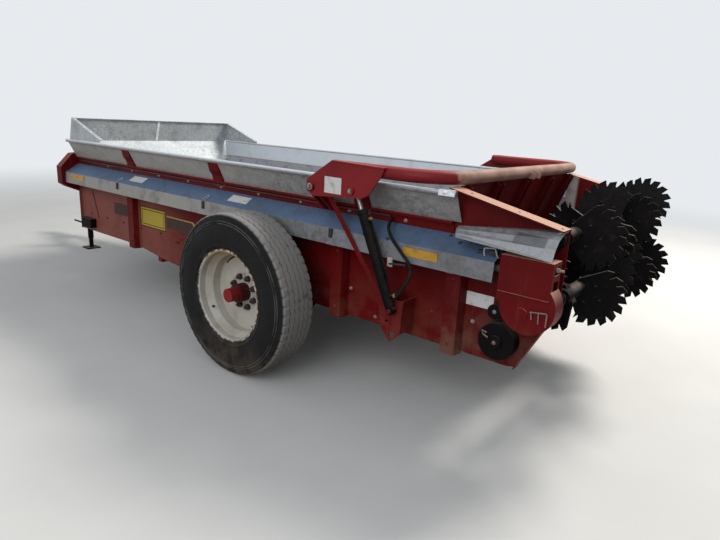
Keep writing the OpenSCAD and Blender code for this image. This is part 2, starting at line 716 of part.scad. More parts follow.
module hub() {
    disc_y = wheel_y + rim_w / 2 - disc_depth;
    color(red) placed() {
        difference() {
            union() {
                bar_y(0, axle_z, nut_circle_r + 24, disc_y - 40, disc_y - 12);
                bar_y(0, axle_z, 60 - fit, disc_y - 20, disc_y + 70);
                bar_y(0, axle_z, 44, disc_y + 60, disc_y + 136);
                for (i = [0:7]) translate([0, 0, axle_z]) rotate([0, 22.5 + i * 45, 0])
                    translate([nut_circle_r, 0, -axle_z]) bar_y(0, axle_z, 10.5, disc_y - 20, disc_y + 26);
                for (i = [0:7]) translate([0, 0, axle_z]) rotate([0, 22.5 + i * 45, 0])
                    translate([nut_circle_r, 0, -axle_z]) bar_y(0, axle_z, 17, disc_y + fit, disc_y + 20);
                bar_y(0, axle_z, 78, spindle_foot_y + 50, disc_y - 30);
            }
            bar_y(0, axle_z, spindle_r + run, 0, wheel_y + 61);
        }
    }
}

// Rotor: a tube with saw-toothed paddles, staggered along it and set at a slight skew
paddle_mid = 75;
tooth_h = 40;
// Rows, from the right side to the left: turn of a paddle on the upper rotor and on the lower one
paddle_turns = [[340, 60], [240, 180], [60, 136], [176, 270], [300, 20], [118, 230], [18, 154], [174, 30]];
// Rows: place along a tooth, and how far down from its tip, of each corner
tooth_rows = [[0.5, 0], [0.62, 0.96], [0.68, 1], [0.9, 0.3]];
module paddle() {
    tip = rotor_r - paddle_mid;
    step = 190 / teeth;
    corners = concat([[0, 0.25]], [for (i = [0:teeth - 1], k = tooth_rows) [i + k[0], k[1]]]);
    outline = [for (c = corners)
        let(a = -95 + c[0] * step, r = tip - c[1] * tooth_h) [paddle_mid + r * cos(a), r * sin(a)]];
    foot = rotor_tube_r + 10;
    rotate([90, 0, 0]) {
        translate([0, 0, -paddle_t / 2]) linear_extrude(paddle_t)
            polygon(concat([[-foot / 2, -foot]], outline, [[paddle_mid - 12, tip - tooth_h], [-foot / 2, foot]]));
        translate([-foot / 2, -foot, 0]) cube([8, 2 * foot, 30]);
    }
}
module rotor(x, z, shift, column, wheel) {
    color(black) placed() {
        bar_y(-x, z, rotor_tube_r, -inner_y + 32, inner_y - 32);
        bar_y(-x, z, rotor_shaft_r, -side_y - 50, side_y + 48);
        for (i = [0:len(paddle_turns) - 1])
            translate([-x, (i - (len(paddle_turns) - 1) / 2) * paddle_pitch + shift, z])
                rotate([0, paddle_turns[i][column], 0]) rotate([0, 0, -paddle_skew]) paddle();
        bar_y(-x, z, wheel, side_y + bearing_t + 6, side_y + 48);
    }
}

// Endgate: bent tube, arm plates and the leaning panel
arm_plate_y = 1042;
arm_plate_t = 8;
arm_front_x = 615;
rib_w = 60;
module gate_frame() {
    bend_x = -cross_x + arm_bend;
    bend_y = arm_y - arm_bend;
    color(red) placed() {
        bar_y(-cross_x, arm_z, arm_r, -bend_y, bend_y);
        for (s = [1, -1]) scale_y(s) {
            translate([bend_x, bend_y, arm_z]) rotate([0, 0, 90])
                rotate_extrude(angle = 90) translate([arm_bend, 0]) circle(r = arm_r);
            translate([bend_x, arm_y, arm_z]) rotate([0, 90, 0])
                cylinder(r = arm_r, h = -arm_front_x - bend_x);
            difference() {
                plate_xz(arm_plate_y, arm_plate_t) polygon([[-452, 1290], [-640, 1412], [-1000, 1402], [-985, 1365],
                    [-905, 1250], [-860, 1228], [-660, 1212], [-505, 1200], [-455, 1225]]);
                bar_y(-pivot_x, pivot_z, pivot_r + run, arm_plate_y - 1, arm_plate_y + arm_plate_t + 1);
            }
            plate_xz(arm_y + 4, arm_plate_y - arm_y - 4) polygon([[-640, 1402], [-640, 1412], [-1000, 1402], [-1000, 1392]]);
            bar_y(-head_pin_x, head_pin_z, cyl_pin_r + 10, arm_plate_y + 1, arm_plate_y + arm_plate_t + 10);
        }
        plate_xz(rib_w / 2 + 8, 8) polygon([[-cross_x - arm_r - 34, arm_z - 4], [-cross_x, arm_z + 10],
            [-cross_x, arm_z - arm_r + 4], [-cross_x - arm_r - 30, arm_z - arm_r]]);
        plate_xz(-rib_w / 2 - 16, 8) polygon([[-cross_x - arm_r - 34, arm_z - 4], [-cross_x, arm_z + 10],
            [-cross_x, arm_z - arm_r + 4], [-cross_x - arm_r - 30, arm_z - arm_r]]);
    }
}
rib_places = [for (i = [-2:2]) i * (gate_half_w - rib_w / 2) / 2];
gate_low_z = floor_z + slat_h + 14;
// The panel's top corners are cut away from here out, where the tube bends
gate_notch_y = 755;
module leaning_gate() translate([-cross_x, 0, arm_z]) rotate([0, -gate_lean, 0]) children();
module gate_panel() {
    height = (arm_z - gate_low_z) / cos(gate_lean);
    color(red) placed() leaning_gate() {
        difference() {
            translate([-4, -gate_half_w, -height]) cube([8, 2 * gate_half_w, height]);
            rotate([0, gate_lean, 0]) bar_y(0, 0, arm_r + fit, -gate_half_w - 1, gate_half_w + 1);
            for (s = [1, -1]) scale_y(s)
                translate([-5, gate_notch_y, -arm_r - 12]) cube([10, gate_half_w, arm_r + 13]);
        }
        for (y = rib_places) difference() {
            translate([-44, y - rib_w / 2, -height + 20]) cube([40, rib_w, height - 20 - arm_r - 6]);
            translate([-45, y - rib_w / 2 + 6, -height + 12]) cube([35, rib_w - 12, height - arm_r]);
        }
    }
}

// Lifting cylinders
cyl_dir = [-head_pin_x + foot_pin_x, head_pin_z - foot_pin_z];
cyl_len = norm(cyl_dir);
cyl_tilt = atan2(cyl_dir[0], cyl_dir[1]);
barrel_len = cyl_len - 110;
// Port of a barrel, near its foot, and how far its fitting stands out
port_up = 74;
port_out = 50;
function port_point(out) = [-foot_pin_x + port_up * sin(cyl_tilt) - out * cos(cyl_tilt), cyl_y,
    foot_pin_z + port_up * cos(cyl_tilt) + out * sin(cyl_tilt)];
module along_cylinder() translate([-foot_pin_x, cyl_y, foot_pin_z]) rotate([0, cyl_tilt, 0]) children();
module barrel() {
    color(black) placed() along_cylinder() {
        difference() {
            union() {
                rotate([90, 0, 0]) cylinder(r = 24, h = 30, center = true);
                translate([0, 0, 20]) cylinder(r = barrel_r, h = barrel_len - 20);
                translate([0, 0, port_up]) rotate([0, -90, 0]) cylinder(r = 12, h = port_out);
                translate([0, 0, barrel_len - 70]) rotate([0, -90, 0]) cylinder(r = 12, h = port_out - 6);
                translate([0, 0, barrel_len - 24]) cylinder(r = barrel_r + 5, h = 24);
            }
            rotate([90, 0, 0]) cylinder(r = cyl_pin_r + run, h = 60, center = true);
            translate([0, 0, 60]) cylinder(r = rod_r + run, h = barrel_len);
        }
    }
}
module rod() {
    color(steel) placed() along_cylinder() {
        difference() {
            union() {
                translate([0, 0, 70]) cylinder(r = rod_r, h = cyl_len - 70 - 10);
                translate([0, 0, cyl_len]) rotate([90, 0, 0]) cylinder(r = 24, h = 30, center = true);
                translate([0, 26, cyl_len]) rotate([90, 0, 0]) cylinder(r = cyl_pin_r, h = 52);
            }
        }
    }
}

// Round pipe along a line of points, with a slightly larger ball at each bend
module pipe(p, r) {
    for (i = [0:len(p) - 2]) {
        v = p[i + 1] - p[i];
        translate(p[i]) rotate([0, acos(v[2] / norm(v)), atan2(v[1], v[0])]) cylinder(r = r, h = norm(v), $fn = 24);
    }
    for (i = [1:len(p) - 2]) translate(p[i]) sphere(r = 1.1 * r, $fn = 24);
}

// Steel hydraulic lines under the rails, from the front of the box to the cylinders' hoses
line_r = 7;
line_y = side_y + 8 + line_r + fit;
line_z = flare_foot_z - 30;
module hydraulic_lines() {
    color(steel) placed() for (s = [1, -1]) scale_y(s)
        pipe([[front_x - 30, line_y, line_z], [-foot_pin_x + 150, line_y, line_z]], line_r);
}

// Hose from the port at the foot of a cylinder's barrel, past the driveline's cover, up to the rail
hose_r = 9;
port_at = port_point(port_out + fit);
hose_path = [port_at, port_at + [-26, 0, 12], [-foot_pin_x - 67, cover_y + 34, foot_pin_z + 147],
    [-foot_pin_x - 91.6, cover_y + 27, foot_pin_z + 191.5], [-foot_pin_x - 99.7, cover_y + 23, foot_pin_z + 237.9],
    [-foot_pin_x - 77.4, cover_y + 19, foot_pin_z + 279.4], [-foot_pin_x - 16, cover_y + 17, foot_pin_z + 336],
    [-foot_pin_x + 48, cover_y + 10, foot_pin_z + 395], [-foot_pin_x + 100, cover_y - 30, foot_pin_z + 443],
    [-foot_pin_x + 130, line_y + 12, line_z - 8]];
module hose() {
    color(rubber) placed() pipe(hose_path, hose_r);
}

side();  // side_left
right() side();  // side_right
floor_sheet();  // floor
front_wall();
splash_board();
flare();  // flare_left
right() flare();  // flare_right
rail();  // rail_left
right() rail();  // rail_right
axle();
tongue();
jack();
driveline_cover();
driveline();
front_case();
pto_input();
rear_plate();  // rear_plate_left
right() rear_plate();  // rear_plate_right
rear_case();
deflector();
apron();
apron_shafts();
apron_gearbox();
rotor_bearings();
cross_beams();
hydraulic_lines();
hose();  // hose_left
right() hose();  // hose_right
gate_mounts();
cylinder_feet();
control_valve();
tyre();  // tyre_left
rim();  // rim_left
hub();  // hub_left
right() tyre();  // tyre_right
right() rim();  // rim_right
right() hub();  // hub_right
rotor(upper_x, upper_z, 0, 0, 30);  // rotor_upper
rotor(lower_x, lower_z, paddle_pitch / 2, 1, 40);  // rotor_lower
gate_frame();
gate_panel();
barrel();  // barrel_left
rod();  // rod_left
right() barrel();  // barrel_right
right() rod();  // rod_right
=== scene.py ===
import math

import bpy
import numpy as np
from mathutils import Matrix, Vector


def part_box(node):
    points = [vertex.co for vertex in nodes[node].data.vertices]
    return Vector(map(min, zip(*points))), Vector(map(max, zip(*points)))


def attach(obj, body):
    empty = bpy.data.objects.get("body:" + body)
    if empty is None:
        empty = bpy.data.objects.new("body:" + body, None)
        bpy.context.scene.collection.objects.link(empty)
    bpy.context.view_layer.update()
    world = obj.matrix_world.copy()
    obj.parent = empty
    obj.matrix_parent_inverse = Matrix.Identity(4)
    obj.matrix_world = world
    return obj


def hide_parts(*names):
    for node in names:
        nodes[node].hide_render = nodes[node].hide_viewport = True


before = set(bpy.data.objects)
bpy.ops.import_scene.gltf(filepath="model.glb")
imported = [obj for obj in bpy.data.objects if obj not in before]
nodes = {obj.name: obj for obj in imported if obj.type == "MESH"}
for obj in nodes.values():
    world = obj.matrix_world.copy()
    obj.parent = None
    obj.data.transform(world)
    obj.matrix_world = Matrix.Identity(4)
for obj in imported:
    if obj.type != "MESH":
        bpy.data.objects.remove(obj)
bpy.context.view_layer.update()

# Box: side sheets, rails, rear plates and the frame below
# Folded sheet steel, welded to pressed posts and sprayed dark red. Years outdoors have bleached what faces
# up; mud sticks low down, and rust shows through small chips.


class Finish:
    """A material made of shader nodes. Each method adds nodes and gives their output, and the last one gives
    the material itself."""

    def __init__(self, name):
        self.material = bpy.data.materials.new(name)
        self.material.use_nodes = True
        self.tree = self.material.node_tree
        self.tree.nodes.clear()
        self.place = self.node("TexCoord", 3)
        self.x, self.y, self.z = (self.node("SeparateXYZ", axis, {0: self.place}) for axis in range(3))
        self.up = self.node("SeparateXYZ", 2, {0: self.node("NewGeometry", 1)})

    def node(self, kind, out=0, inputs=None, **settings):
        """One node's numbered output. An input is a value, or another node's output to link to."""
        made = self.tree.nodes.new("ShaderNode" + kind)
        for key, value in settings.items():
            setattr(made, key, value)
        for key, value in (inputs or {}).items():
            if isinstance(value, bpy.types.NodeSocket):
                self.tree.links.new(value, made.inputs[key])
            else:
                made.inputs[key].default_value = value
        return made.outputs[out]

    def stretched(self, x, y, z):
        """The object's coordinates with each axis multiplied, for streaks and grain."""
        return self.node("VectorMath", 0, {0: self.place, 1: (x, y, z)}, operation="MULTIPLY")

    def between(self, value, low, high):
        """0 where the value is at low and 1 where it is at high, with soft ends."""
        return self.node("MapRange", 0, {0: value, 1: low, 2: high}, interpolation_type="SMOOTHSTEP")

    def noise(self, scale, low=0.35, high=0.65, detail=4.0, where=None):
        """Cloudy noise, 0 below low and 1 above high."""
        where = self.place if where is None else where
        inputs = {"Vector": where, "Scale": scale, "Detail": detail, "Roughness": 0.6}
        return self.between(self.node("TexNoise", 0, inputs), low, high)

    def along(self, rear, front):
        """0 behind rear and 1 past front, both measured ahead of the axle."""
        return self.between(self.x, axle_x + rear, axle_x + front)

    def times(self, first, second):
        """The product of two values."""
        return self.node("Math", 0, {0: first, 1: second}, operation="MULTIPLY")

    def added(self, first, second):
        """The sum of two values."""
        return self.node("Math", 0, {0: first, 1: second}, operation="ADD")

    def from_middle(self):
        """Distance from the middle plane."""
        return self.node("Math", 0, {0: self.y}, operation="ABSOLUTE")

    def mix(self, share, first, second):
        """The first colour where share is 0, the second where it is 1."""
        first, second = ((*c, 1.0) if isinstance(c, tuple) else c for c in (first, second))
        return self.node("Mix", 2, {0: share, 6: first, 7: second}, data_type="RGBA")

    def from_axis(self, centre_x, centre_z):
        """Distance from a line along Y, such as an axle."""
        side = self.node("Math", 0, {0: self.x, 1: centre_x}, operation="SUBTRACT")
        rise = self.node("Math", 0, {0: self.z, 1: centre_z}, operation="SUBTRACT")
        squares = self.added(self.times(side, side), self.times(rise, rise))
        return self.node("Math", 0, {0: squares}, operation="SQRT")

    def area(self, rear, front, low, high, point=0.0):
        """1 inside a rectangle seen from the side: its ends ahead of the axle, its heights, and how far its
        middle reaches out at the rear end."""
        rise = self.node("Math", 0, {0: self.z, 1: (low + high) / 2}, operation="SUBTRACT")
        away = self.node("Math", 0, {0: rise}, operation="ABSOLUTE")
        slope = -2 * point / (high - low)
        slant = self.node("Math", 0, {0: away, 1: slope, 2: self.x}, operation="MULTIPLY_ADD")
        share = self.node("Math", 0, {0: slant, 1: axle_x + rear - point}, operation="GREATER_THAN")
        for value, limit, way in ((self.x, axle_x + front, "LESS_THAN"), (self.z, low, "GREATER_THAN"),
                                  (self.z, high, "LESS_THAN")):
            share = self.times(share, self.node("Math", 0, {0: value, 1: limit}, operation=way))
        return share

    def shaded(self, colour, roughness, relief, depth, metallic=0.0, sheen=0.5, dents=0.0):
        """The finished material. Roughness is a pair: the smooth places and the rough ones, told apart by
        relief. Dents is the depth of the slow waves that use has left in a sheet."""
        smooth, rough = roughness
        inputs = {"Base Color": colour, "Metallic": metallic, "Specular IOR Level": sheen}
        inputs["Roughness"] = self.node("MapRange", 0, {0: relief, 3: smooth, 4: rough})
        fine = {"Height": relief, "Distance": depth, "Strength": 0.7}
        if dents:
            waves = self.noise(3.4, 0.0, 1.0, 1.0)
            fine["Normal"] = self.node("Bump", 0, {"Height": waves, "Distance": dents})
        inputs["Normal"] = self.node("Bump", 0, fine)
        surface = self.node("BsdfPrincipled", 0, inputs)
        output = self.tree.nodes.new("ShaderNodeOutputMaterial")
        self.tree.links.new(surface, output.inputs[0])
        return self.material


def shade(colour, share):
    """The colour made darker or lighter."""
    return tuple(share * c for c in colour)


# Where the side sheets change: out from the middle plane, up from the ground, and ahead of the axle
sheet_face, under_rail, dusty_sunlit_front = (0.850, 0.845), (0.96, 0.90), (0.9, 1.7)
inner_face, worn_rear = 0.8225, (-1.400, -1.375)


def red_paint(name, red, bleached, soiled=0.22, chalk=(0.42, 0.14, 0.12), marks=(), scoured=None):
    """Red paint with its coloured marks: bleached where it faces up, dusty low down, with runs of dirt and
    chips down to rust. A sheet with marks is lighter at the front, with dust and painted sunlight. Scoured is
    the colour to which the load has worn the inner faces; on the rear plates it is painted sunlight as well."""
    f = Finish(name)
    colour = f.mix(f.noise(1.6, 0.3, 0.7), shade(red, 0.62), red)
    colour = f.mix(f.times(f.noise(6.0, 0.5, 0.75, 6.0), 0.4), colour, shade(red, 0.45))
    colour = f.mix(f.times(f.between(f.up, 0.15, 0.85), bleached), colour, chalk)
    side = f.from_middle()
    if marks:
        # The outer faces of a marked sheet grow lighter towards the front: dust, and painted sunlight.
        sheet = f.times(f.between(side, *sheet_face), f.between(f.z, *under_rail))
        front = f.times(f.along(*dusty_sunlit_front), f.noise(3.0, 0.05, 0.5, 6.0))
        colour = f.mix(f.times(f.times(front, sheet), 0.75), colour, (0.27, 0.090, 0.073))
    for place, tint in marks:
        colour = f.mix(f.area(*place), colour, tint)
    runs = f.noise(1.0, 0.56, 0.74, 3.0, f.stretched(30, 30, 1.7))
    colour = f.mix(f.times(runs, 0.11), colour, (0.17, 0.085, 0.055))
    mud = f.times(f.between(f.z, 0.85, 0.36), f.noise(8.0, 0.38, 0.62, 7.0))
    colour = f.mix(f.times(mud, soiled), colour, (0.20, 0.135, 0.090))
    chips = f.noise(46.0, 0.690, 0.705, 3.0)
    colour = f.mix(chips, colour, (0.050, 0.022, 0.016))
    if scoured:
        inner = f.node("Math", 0, {0: side, 1: inner_face}, operation="LESS_THAN")
        bare = f.times(f.times(inner, f.along(*worn_rear)), f.noise(7.0, 0.16, 0.26, 8.0))
        colour = f.mix(bare, colour, f.mix(f.noise(11.0, 0.45, 0.70, 8.0), scoured, shade(scoured, 0.7)))
    grain = f.noise(130.0, 0.2, 0.8, 2.0)
    relief = f.mix(chips, f.mix(mud, grain, (0.7, 0.7, 0.7)), (0, 0, 0))
    return f.shaded(colour, (0.36, 0.62), relief, 0.0005, sheen=0.08, dents=0.012)


def dress(material, *names):
    """Gives pieces of the model their finish."""
    for name in names:
        nodes[name].data.materials.clear()
        nodes[name].data.materials.append(material)


wheel_low, wheel_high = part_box("tyre_left")
axle_x = (wheel_low.x + wheel_high.x) / 2
# Marks on the side sheet: (rear end, front end, lower edge, upper edge, point at the rear end), then a colour
yellow, black_line, grey_band = (0.44, 0.33, 0.055), (0.012, 0.011, 0.011), (0.060, 0.034, 0.032)
side_marks = [((1.930, 2.180, 0.690, 0.795), grey_band), ((0.975, 1.335, 0.689, 0.790, 0.055), yellow),
              ((0.990, 1.335, 0.689, 0.781, 0.050), grey_band), ((1.360, 1.733, 0.650, 0.825), black_line),
              ((1.368, 1.725, 0.658, 0.817), yellow), ((1.382, 1.711, 0.672, 0.803), black_line),
              ((1.388, 1.705, 0.678, 0.797), yellow)]
box_paint = red_paint("box_red_paint", (0.140, 0.0055, 0.0070), 0.35)
dress(box_paint, "axle", "tongue", "cross_beams", "front_case", "cylinder_feet")
side_paint = red_paint("side_red_paint", (0.125, 0.0035, 0.0045), 0.35, marks=side_marks,
                       scoured=(0.36, 0.37, 0.385))
dress(side_paint, "side_left", "side_right", "rail_left", "rail_right")
# On the rear plates the scoured inner faces are bare steel and painted sunlight.
rear_paint = red_paint("rear_red_paint", (0.125, 0.0060, 0.0070), 0.85, soiled=0.5, chalk=(0.54, 0.32, 0.225),
                       scoured=(0.42, 0.37, 0.34))
dress(rear_paint, "rear_case", "rear_plate_left", "rear_plate_right")


def grid_faces(rows, columns, round_rows=False, round_columns=False):
    """Four-cornered faces between the neighbours of a grid whose corners are numbered row by row."""
    i = np.arange(rows if round_rows else rows - 1)[:, None]
    j = np.arange(columns if round_columns else columns - 1)[None]
    corner = [(a % rows) * columns + b % columns for a, b in ((i, j), (i, j + 1), (i + 1, j + 1), (i + 1, j))]
    return np.stack(corner, -1).reshape(-1, 4)


def turned(profile, sides):
    """A profile of (radius, height) points turned about Z; a flat face closes each end."""
    radius, height = np.array(profile, float).T
    angle = np.arange(sides) * 2 * np.pi / sides
    ring = np.stack([np.cos(angle), np.sin(angle), 0 * angle], -1)
    corners = (radius[:, None, None] * ring + height[:, None, None] * np.array([0, 0, 1])).reshape(-1, 3)
    last = len(corners) - sides
    faces = grid_faces(len(radius), sides, round_columns=True).tolist()
    return corners, faces + [list(range(sides))[::-1], list(range(last, last + sides))]


def facing(direction):
    """A turn that brings Z to the given direction: its columns are the three new axes."""
    z = np.array(direction, float) / np.linalg.norm(direction)
    x = np.cross((0, 1, 0) if abs(z[1]) < 0.9 else (0, 0, 1), z)
    x /= np.linalg.norm(x)
    return np.stack([x, np.cross(z, x), z], 1)


def joined(*shapes):
    """Several shapes, each corners and faces, as one."""
    starts = np.cumsum([0] + [len(corners) for corners, _ in shapes])
    faces = [[v + start for v in face] for start, (_, part) in zip(starts, shapes) for face in part]
    return np.concatenate([corners for corners, _ in shapes]), faces


def repeated(shape, places, direction):
    """One shape set at each place, its Z axis turned to the direction."""
    corners = shape[0] @ facing(direction).T
    return joined(*[(corners + np.array(place), shape[1]) for place in places])


def slab(low, high):
    """A block between two corners."""
    ends = list(zip(low, high))
    corners = [[x, y, z] for z in ends[2] for y in ends[1] for x in ends[0]]
    faces = [[0, 2, 3, 1], [4, 5, 7, 6], [0, 1, 5, 4], [2, 6, 7, 3], [0, 4, 6, 2], [1, 3, 7, 5]]
    return np.array(corners), faces


def add_piece(name, shape, material, body, smooth_angle=35):
    """A mesh piece with its finish, on the body that it moves with. Edges sharper than the angle, in degrees,
    stay crisp."""
    corners, faces = shape
    mesh = bpy.data.meshes.new(name)
    mesh.from_pydata(corners.tolist(), [], faces)
    mesh.polygons.foreach_set("use_smooth", [True] * len(mesh.polygons))
    mesh.set_sharp_from_angle(angle=math.radians(smooth_angle))
    mesh.materials.append(material)
    made = bpy.data.objects.new(name, mesh)
    bpy.context.scene.collection.objects.link(made)
    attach(made, body)
    return made


def add_from_axle(name, shape, material):
    """A piece on the frame, drawn from the axle ahead."""
    corners, faces = shape
    add_piece(name, (corners + (axle_x, 0, 0), faces), material, "frame")


both_sides = (("left", 1), ("right", -1))


def add_to_both_sides(name, shape, material, body):
    """A piece drawn on the left side, from the axle ahead, and its mirror image. A star in its body's name is
    the side."""
    corners, faces = shape
    for side, direction in both_sides:
        placed = corners * (1, direction, 1) + (axle_x, 0, 0)
        facing_out = [face[::direction] for face in faces]
        add_piece(name + "_" + side, (placed, facing_out), material, body.replace("*", side))


# Fasteners of the box
# Plated hexagon bolts with washers, gone dull, hold the rails and the flared sides. Painted cup-head bolts
# hold the floor's edges and the posts.


def zinc_bolt():
    """Dull plated steel with a little rust."""
    f = Finish("plated_bolt")
    colour = f.mix(f.noise(90.0, 0.45, 0.62), (0.30, 0.29, 0.27), (0.15, 0.08, 0.05))
    return f.shaded(colour, (0.38, 0.7), f.noise(300.0, 0.3, 0.7), 0.0002, metallic=0.6)


bolt_finish = zinc_bolt()
hex_head = joined(turned([(0.0115, 0.0), (0.0115, 0.0018), (0.0108, 0.0022)], 14),
                  turned([(0.0082, 0.002), (0.0082, 0.0075), (0.0068, 0.0088)], 6))
cup_head = turned([(0.011, 0.0), (0.0105, 0.0018), (0.0075, 0.0042), (0.003, 0.0052)], 12)

outward = (0, 1, 0)
rail_y, sheet_y, post_y = 0.838, 0.830, 0.894
rail_front, rail_pitch, rail_bolts = 2.218, 0.4035, 9
rail_places = [(rail_front - rail_pitch * k, rail_y, 1.110) for k in range(rail_bolts)]
rail_places += [(x + dx, rail_y, 1.122) for x in (1.790, 0.610, -0.720) for dx in (-0.035, 0.035)]
sheet_places = [(-0.642, sheet_y, 0.633), (-0.838, sheet_y, 0.498), (-1.471, sheet_y, 0.644)]
plated_bolts = repeated(hex_head, rail_places + sheet_places, outward)
add_to_both_sides("box_bolts", plated_bolts, bolt_finish, "frame")
floor_rear, floor_front, floor_pitch, axle_gap = -1.22, 2.71, 0.295, 0.08
floor_x = np.arange(floor_rear, floor_front, floor_pitch)
floor_line = [(x, sheet_y, 0.628) for x in floor_x if abs(x) > axle_gap]
post_bolts = [(x, post_y, z) for x in (1.790, 0.610, -0.570, -1.3673) for z in (0.51, 0.86)]
painted_bolts = repeated(cup_head, floor_line + post_bolts, outward)
add_to_both_sides("sheet_bolts", painted_bolts, box_paint, "frame")

# Galvanised sheets: flared sides, front wall, splash board, driveline cover and rear hood
# Cold-formed sheet with zinc spangle, bolted on. It has dulled to blue-grey, with dust on the flares. Painted
# sky reflection tints what faces up, painted sunlight lightens the fronts, the splash board and the seams,
# and the cover is darker with painted shade.


def zinc_sheet(name, tone, grime, film, sky=None, tilt=(0.3, 0.7), patch=None, ahead=None):
    """Spangled zinc: crystals as cells of slightly different grey, clouds of dull oxide, and streaks of dirt.
    Ahead is the tone of the front half, dustier and lightened with painted sunlight; sky is a painted sky
    reflection on what faces up by the given tilt; and patch is an area with a duller repair."""
    f = Finish(name)
    crystals = f.node("TexVoronoi", 1, {"Vector": f.place, "Scale": 62.0})
    crystal = f.node("SeparateColor", 0, {0: crystals})
    colour = f.mix(crystal, shade(tone, 0.72), shade(tone, 1.18))
    colour = f.mix(f.times(f.noise(2.3, 0.35, 0.7, 6.0), 0.55), colour, film)
    # Ahead: the front half is lighter with dust and painted sunlight.
    if ahead:
        dusty = f.mix(crystal, shade(ahead, 0.9), shade(ahead, 1.1))
        colour = f.mix(f.along(-0.9, 1.1), colour, dusty)
    # Painted sky reflection: what faces up, by the given tilt, takes the sky's tint.
    if sky:
        colour = f.mix(f.between(f.up, *tilt), colour, sky)
    if patch:
        colour = f.mix(f.area(*patch), colour, shade(tone, 0.45))
    stains = f.noise(7.0, 0.50, 0.68, 8.0)
    colour = f.mix(f.times(stains, grime), colour, (0.075, 0.062, 0.050))
    runs = f.noise(1.0, 0.54, 0.72, 4.0, f.stretched(24, 24, 1.5))
    colour = f.mix(f.times(runs, 0.5 * grime), colour, (0.12, 0.085, 0.060))
    relief = f.mix(stains, crystal, (0.8, 0.8, 0.8))
    return f.shaded(colour, (0.42, 0.68), relief, 0.0002, metallic=0.35, dents=0.010)


# The cover's zinc is darker than the other sheets': painted shade.
cover_zinc = zinc_sheet("cover_zinc", (0.180, 0.183, 0.198), 0.40, (0.150, 0.150, 0.158),
                        sky=(0.095, 0.152, 0.250), ahead=(0.300, 0.285, 0.262))
flare_zinc = zinc_sheet("flare_zinc", (0.300, 0.292, 0.285), 0.10, (0.265, 0.255, 0.248),
                        sky=(0.56, 0.60, 0.64), tilt=(0.1, 0.4), ahead=(0.375, 0.355, 0.330))
# The splash board and front wall take a much lighter zinc than the other sheets: painted sunlight.
board_zinc = zinc_sheet("board_zinc", (0.46, 0.49, 0.51), 0.25, (0.38, 0.40, 0.41))
hood_zinc = zinc_sheet("hood_zinc", (0.30, 0.305, 0.315), 0.25, (0.25, 0.255, 0.265),
                       patch=(-1.845, -1.690, 1.128, 1.168))
dress(cover_zinc, "driveline_cover")
dress(flare_zinc, "flare_left", "flare_right")
dress(board_zinc, "front_wall", "splash_board")
dress(hood_zinc, "deflector")
# A pale zinc for the board's seam and the flare corners: painted glints of sunlight on their edges.
sunlit_edge_zinc = zinc_sheet("sunlit_edge_zinc", (0.80, 0.82, 0.84), 0.05, (0.72, 0.74, 0.76))
corner_rear, corner_front = -1.354, -1.262
corner = joined(slab((corner_rear, 0.927, 1.3165), (corner_front, 0.944, 1.3210)),
                slab((corner_rear, 0.9405, 1.290), (corner_front, 0.9445, 1.3205)),
                repeated(cup_head, [(-1.300, 0.9445, 1.306)], outward))
add_to_both_sides("flare_corner", corner, sunlit_edge_zinc, "frame")
seam_foot = np.array((2.7955, 0, 1.304))
seam_half, seam_length = 0.013, 0.211
# Cosine and sine of the splash board's lean to the rear
upright, leaning = 0.953, 0.303
lean_back = np.array([[upright, 0, leaning], [0, 1, 0], [-leaning, 0, upright]])
strip, strip_faces = slab((-0.006, -seam_half, 0), (0.001, seam_half, seam_length))
add_from_axle("board_seam", (strip @ lean_back + seam_foot, strip_faces), sunlit_edge_zinc)

# Latches, reflectors and plates of the driveline cover
# Rubber straps hook over wire loops to hold the cover down. The reflectors are amber tape, the plates blank
# metal.


def flat_finish(name, colour, worn, dirt, roughness=0.45):
    """One colour, with dirt in soft patches. Worn is how much rougher its dull spots are."""
    f = Finish(name)
    dirtied = f.mix(f.noise(22.0, 0.5, 0.75, 6.0), colour, dirt)
    return f.shaded(dirtied, (roughness, roughness + worn), f.noise(70.0), 0.0001)


def curve_through(points, per_span=3):
    """A smooth line through points: between two of them, a cubic whose slopes come from their neighbours."""
    points = np.array(points, float)
    p = np.concatenate([[2 * points[0] - points[1]], points, [2 * points[-1] - points[-2]]])
    t = np.arange(per_span)[None, :, None] / per_span
    a, b, c, d = (p[k:len(p) - 3 + k][:, None] for k in range(4))
    square, cube = 2 * a - 5 * b + 4 * c - d, 3 * b - a - 3 * c + d
    spans = 0.5 * (2 * b + (c - a) * t + square * t ** 2 + cube * t ** 3)
    return np.concatenate([spans.reshape(-1, 3), points[-1:]])


def tube(path, radius, sides=16):
    """A ring of corners carried along a path, square to it at each point; both ends are closed."""
    path = np.array(path, float)
    slope = np.gradient(path, axis=0)
    slope /= np.linalg.norm(slope, axis=1, keepdims=True)
    across = np.cross(slope, (0.13, 0.97, 0.21))
    across /= np.linalg.norm(across, axis=1, keepdims=True)
    angle = (np.arange(sides) * 2 * np.pi / sides)[None, :, None]
    ring = np.cos(angle) * across[:, None] + np.sin(angle) * np.cross(slope, across)[:, None]
    corners = (path[:, None] + radius * ring).reshape(-1, 3)
    faces = grid_faces(len(path), sides, round_columns=True).tolist()
    last = len(corners) - sides
    return corners, faces + [list(range(sides))[::-1], list(range(last, last + sides))]


# Upper edge of the cover's slope, then the cosine and sine of its fall
slope_y, slope_z = 0.833, 1.088
slope_run, slope_fall = 0.857, 0.516
cover_turn = (0, slope_fall, slope_run)


def on_slope(along, down, out):
    """A point on the cover's sloping face: ahead of the axle, down from its top edge, and off its surface."""
    return along, slope_y + slope_run * down + slope_fall * out, slope_z - slope_fall * down + slope_run * out


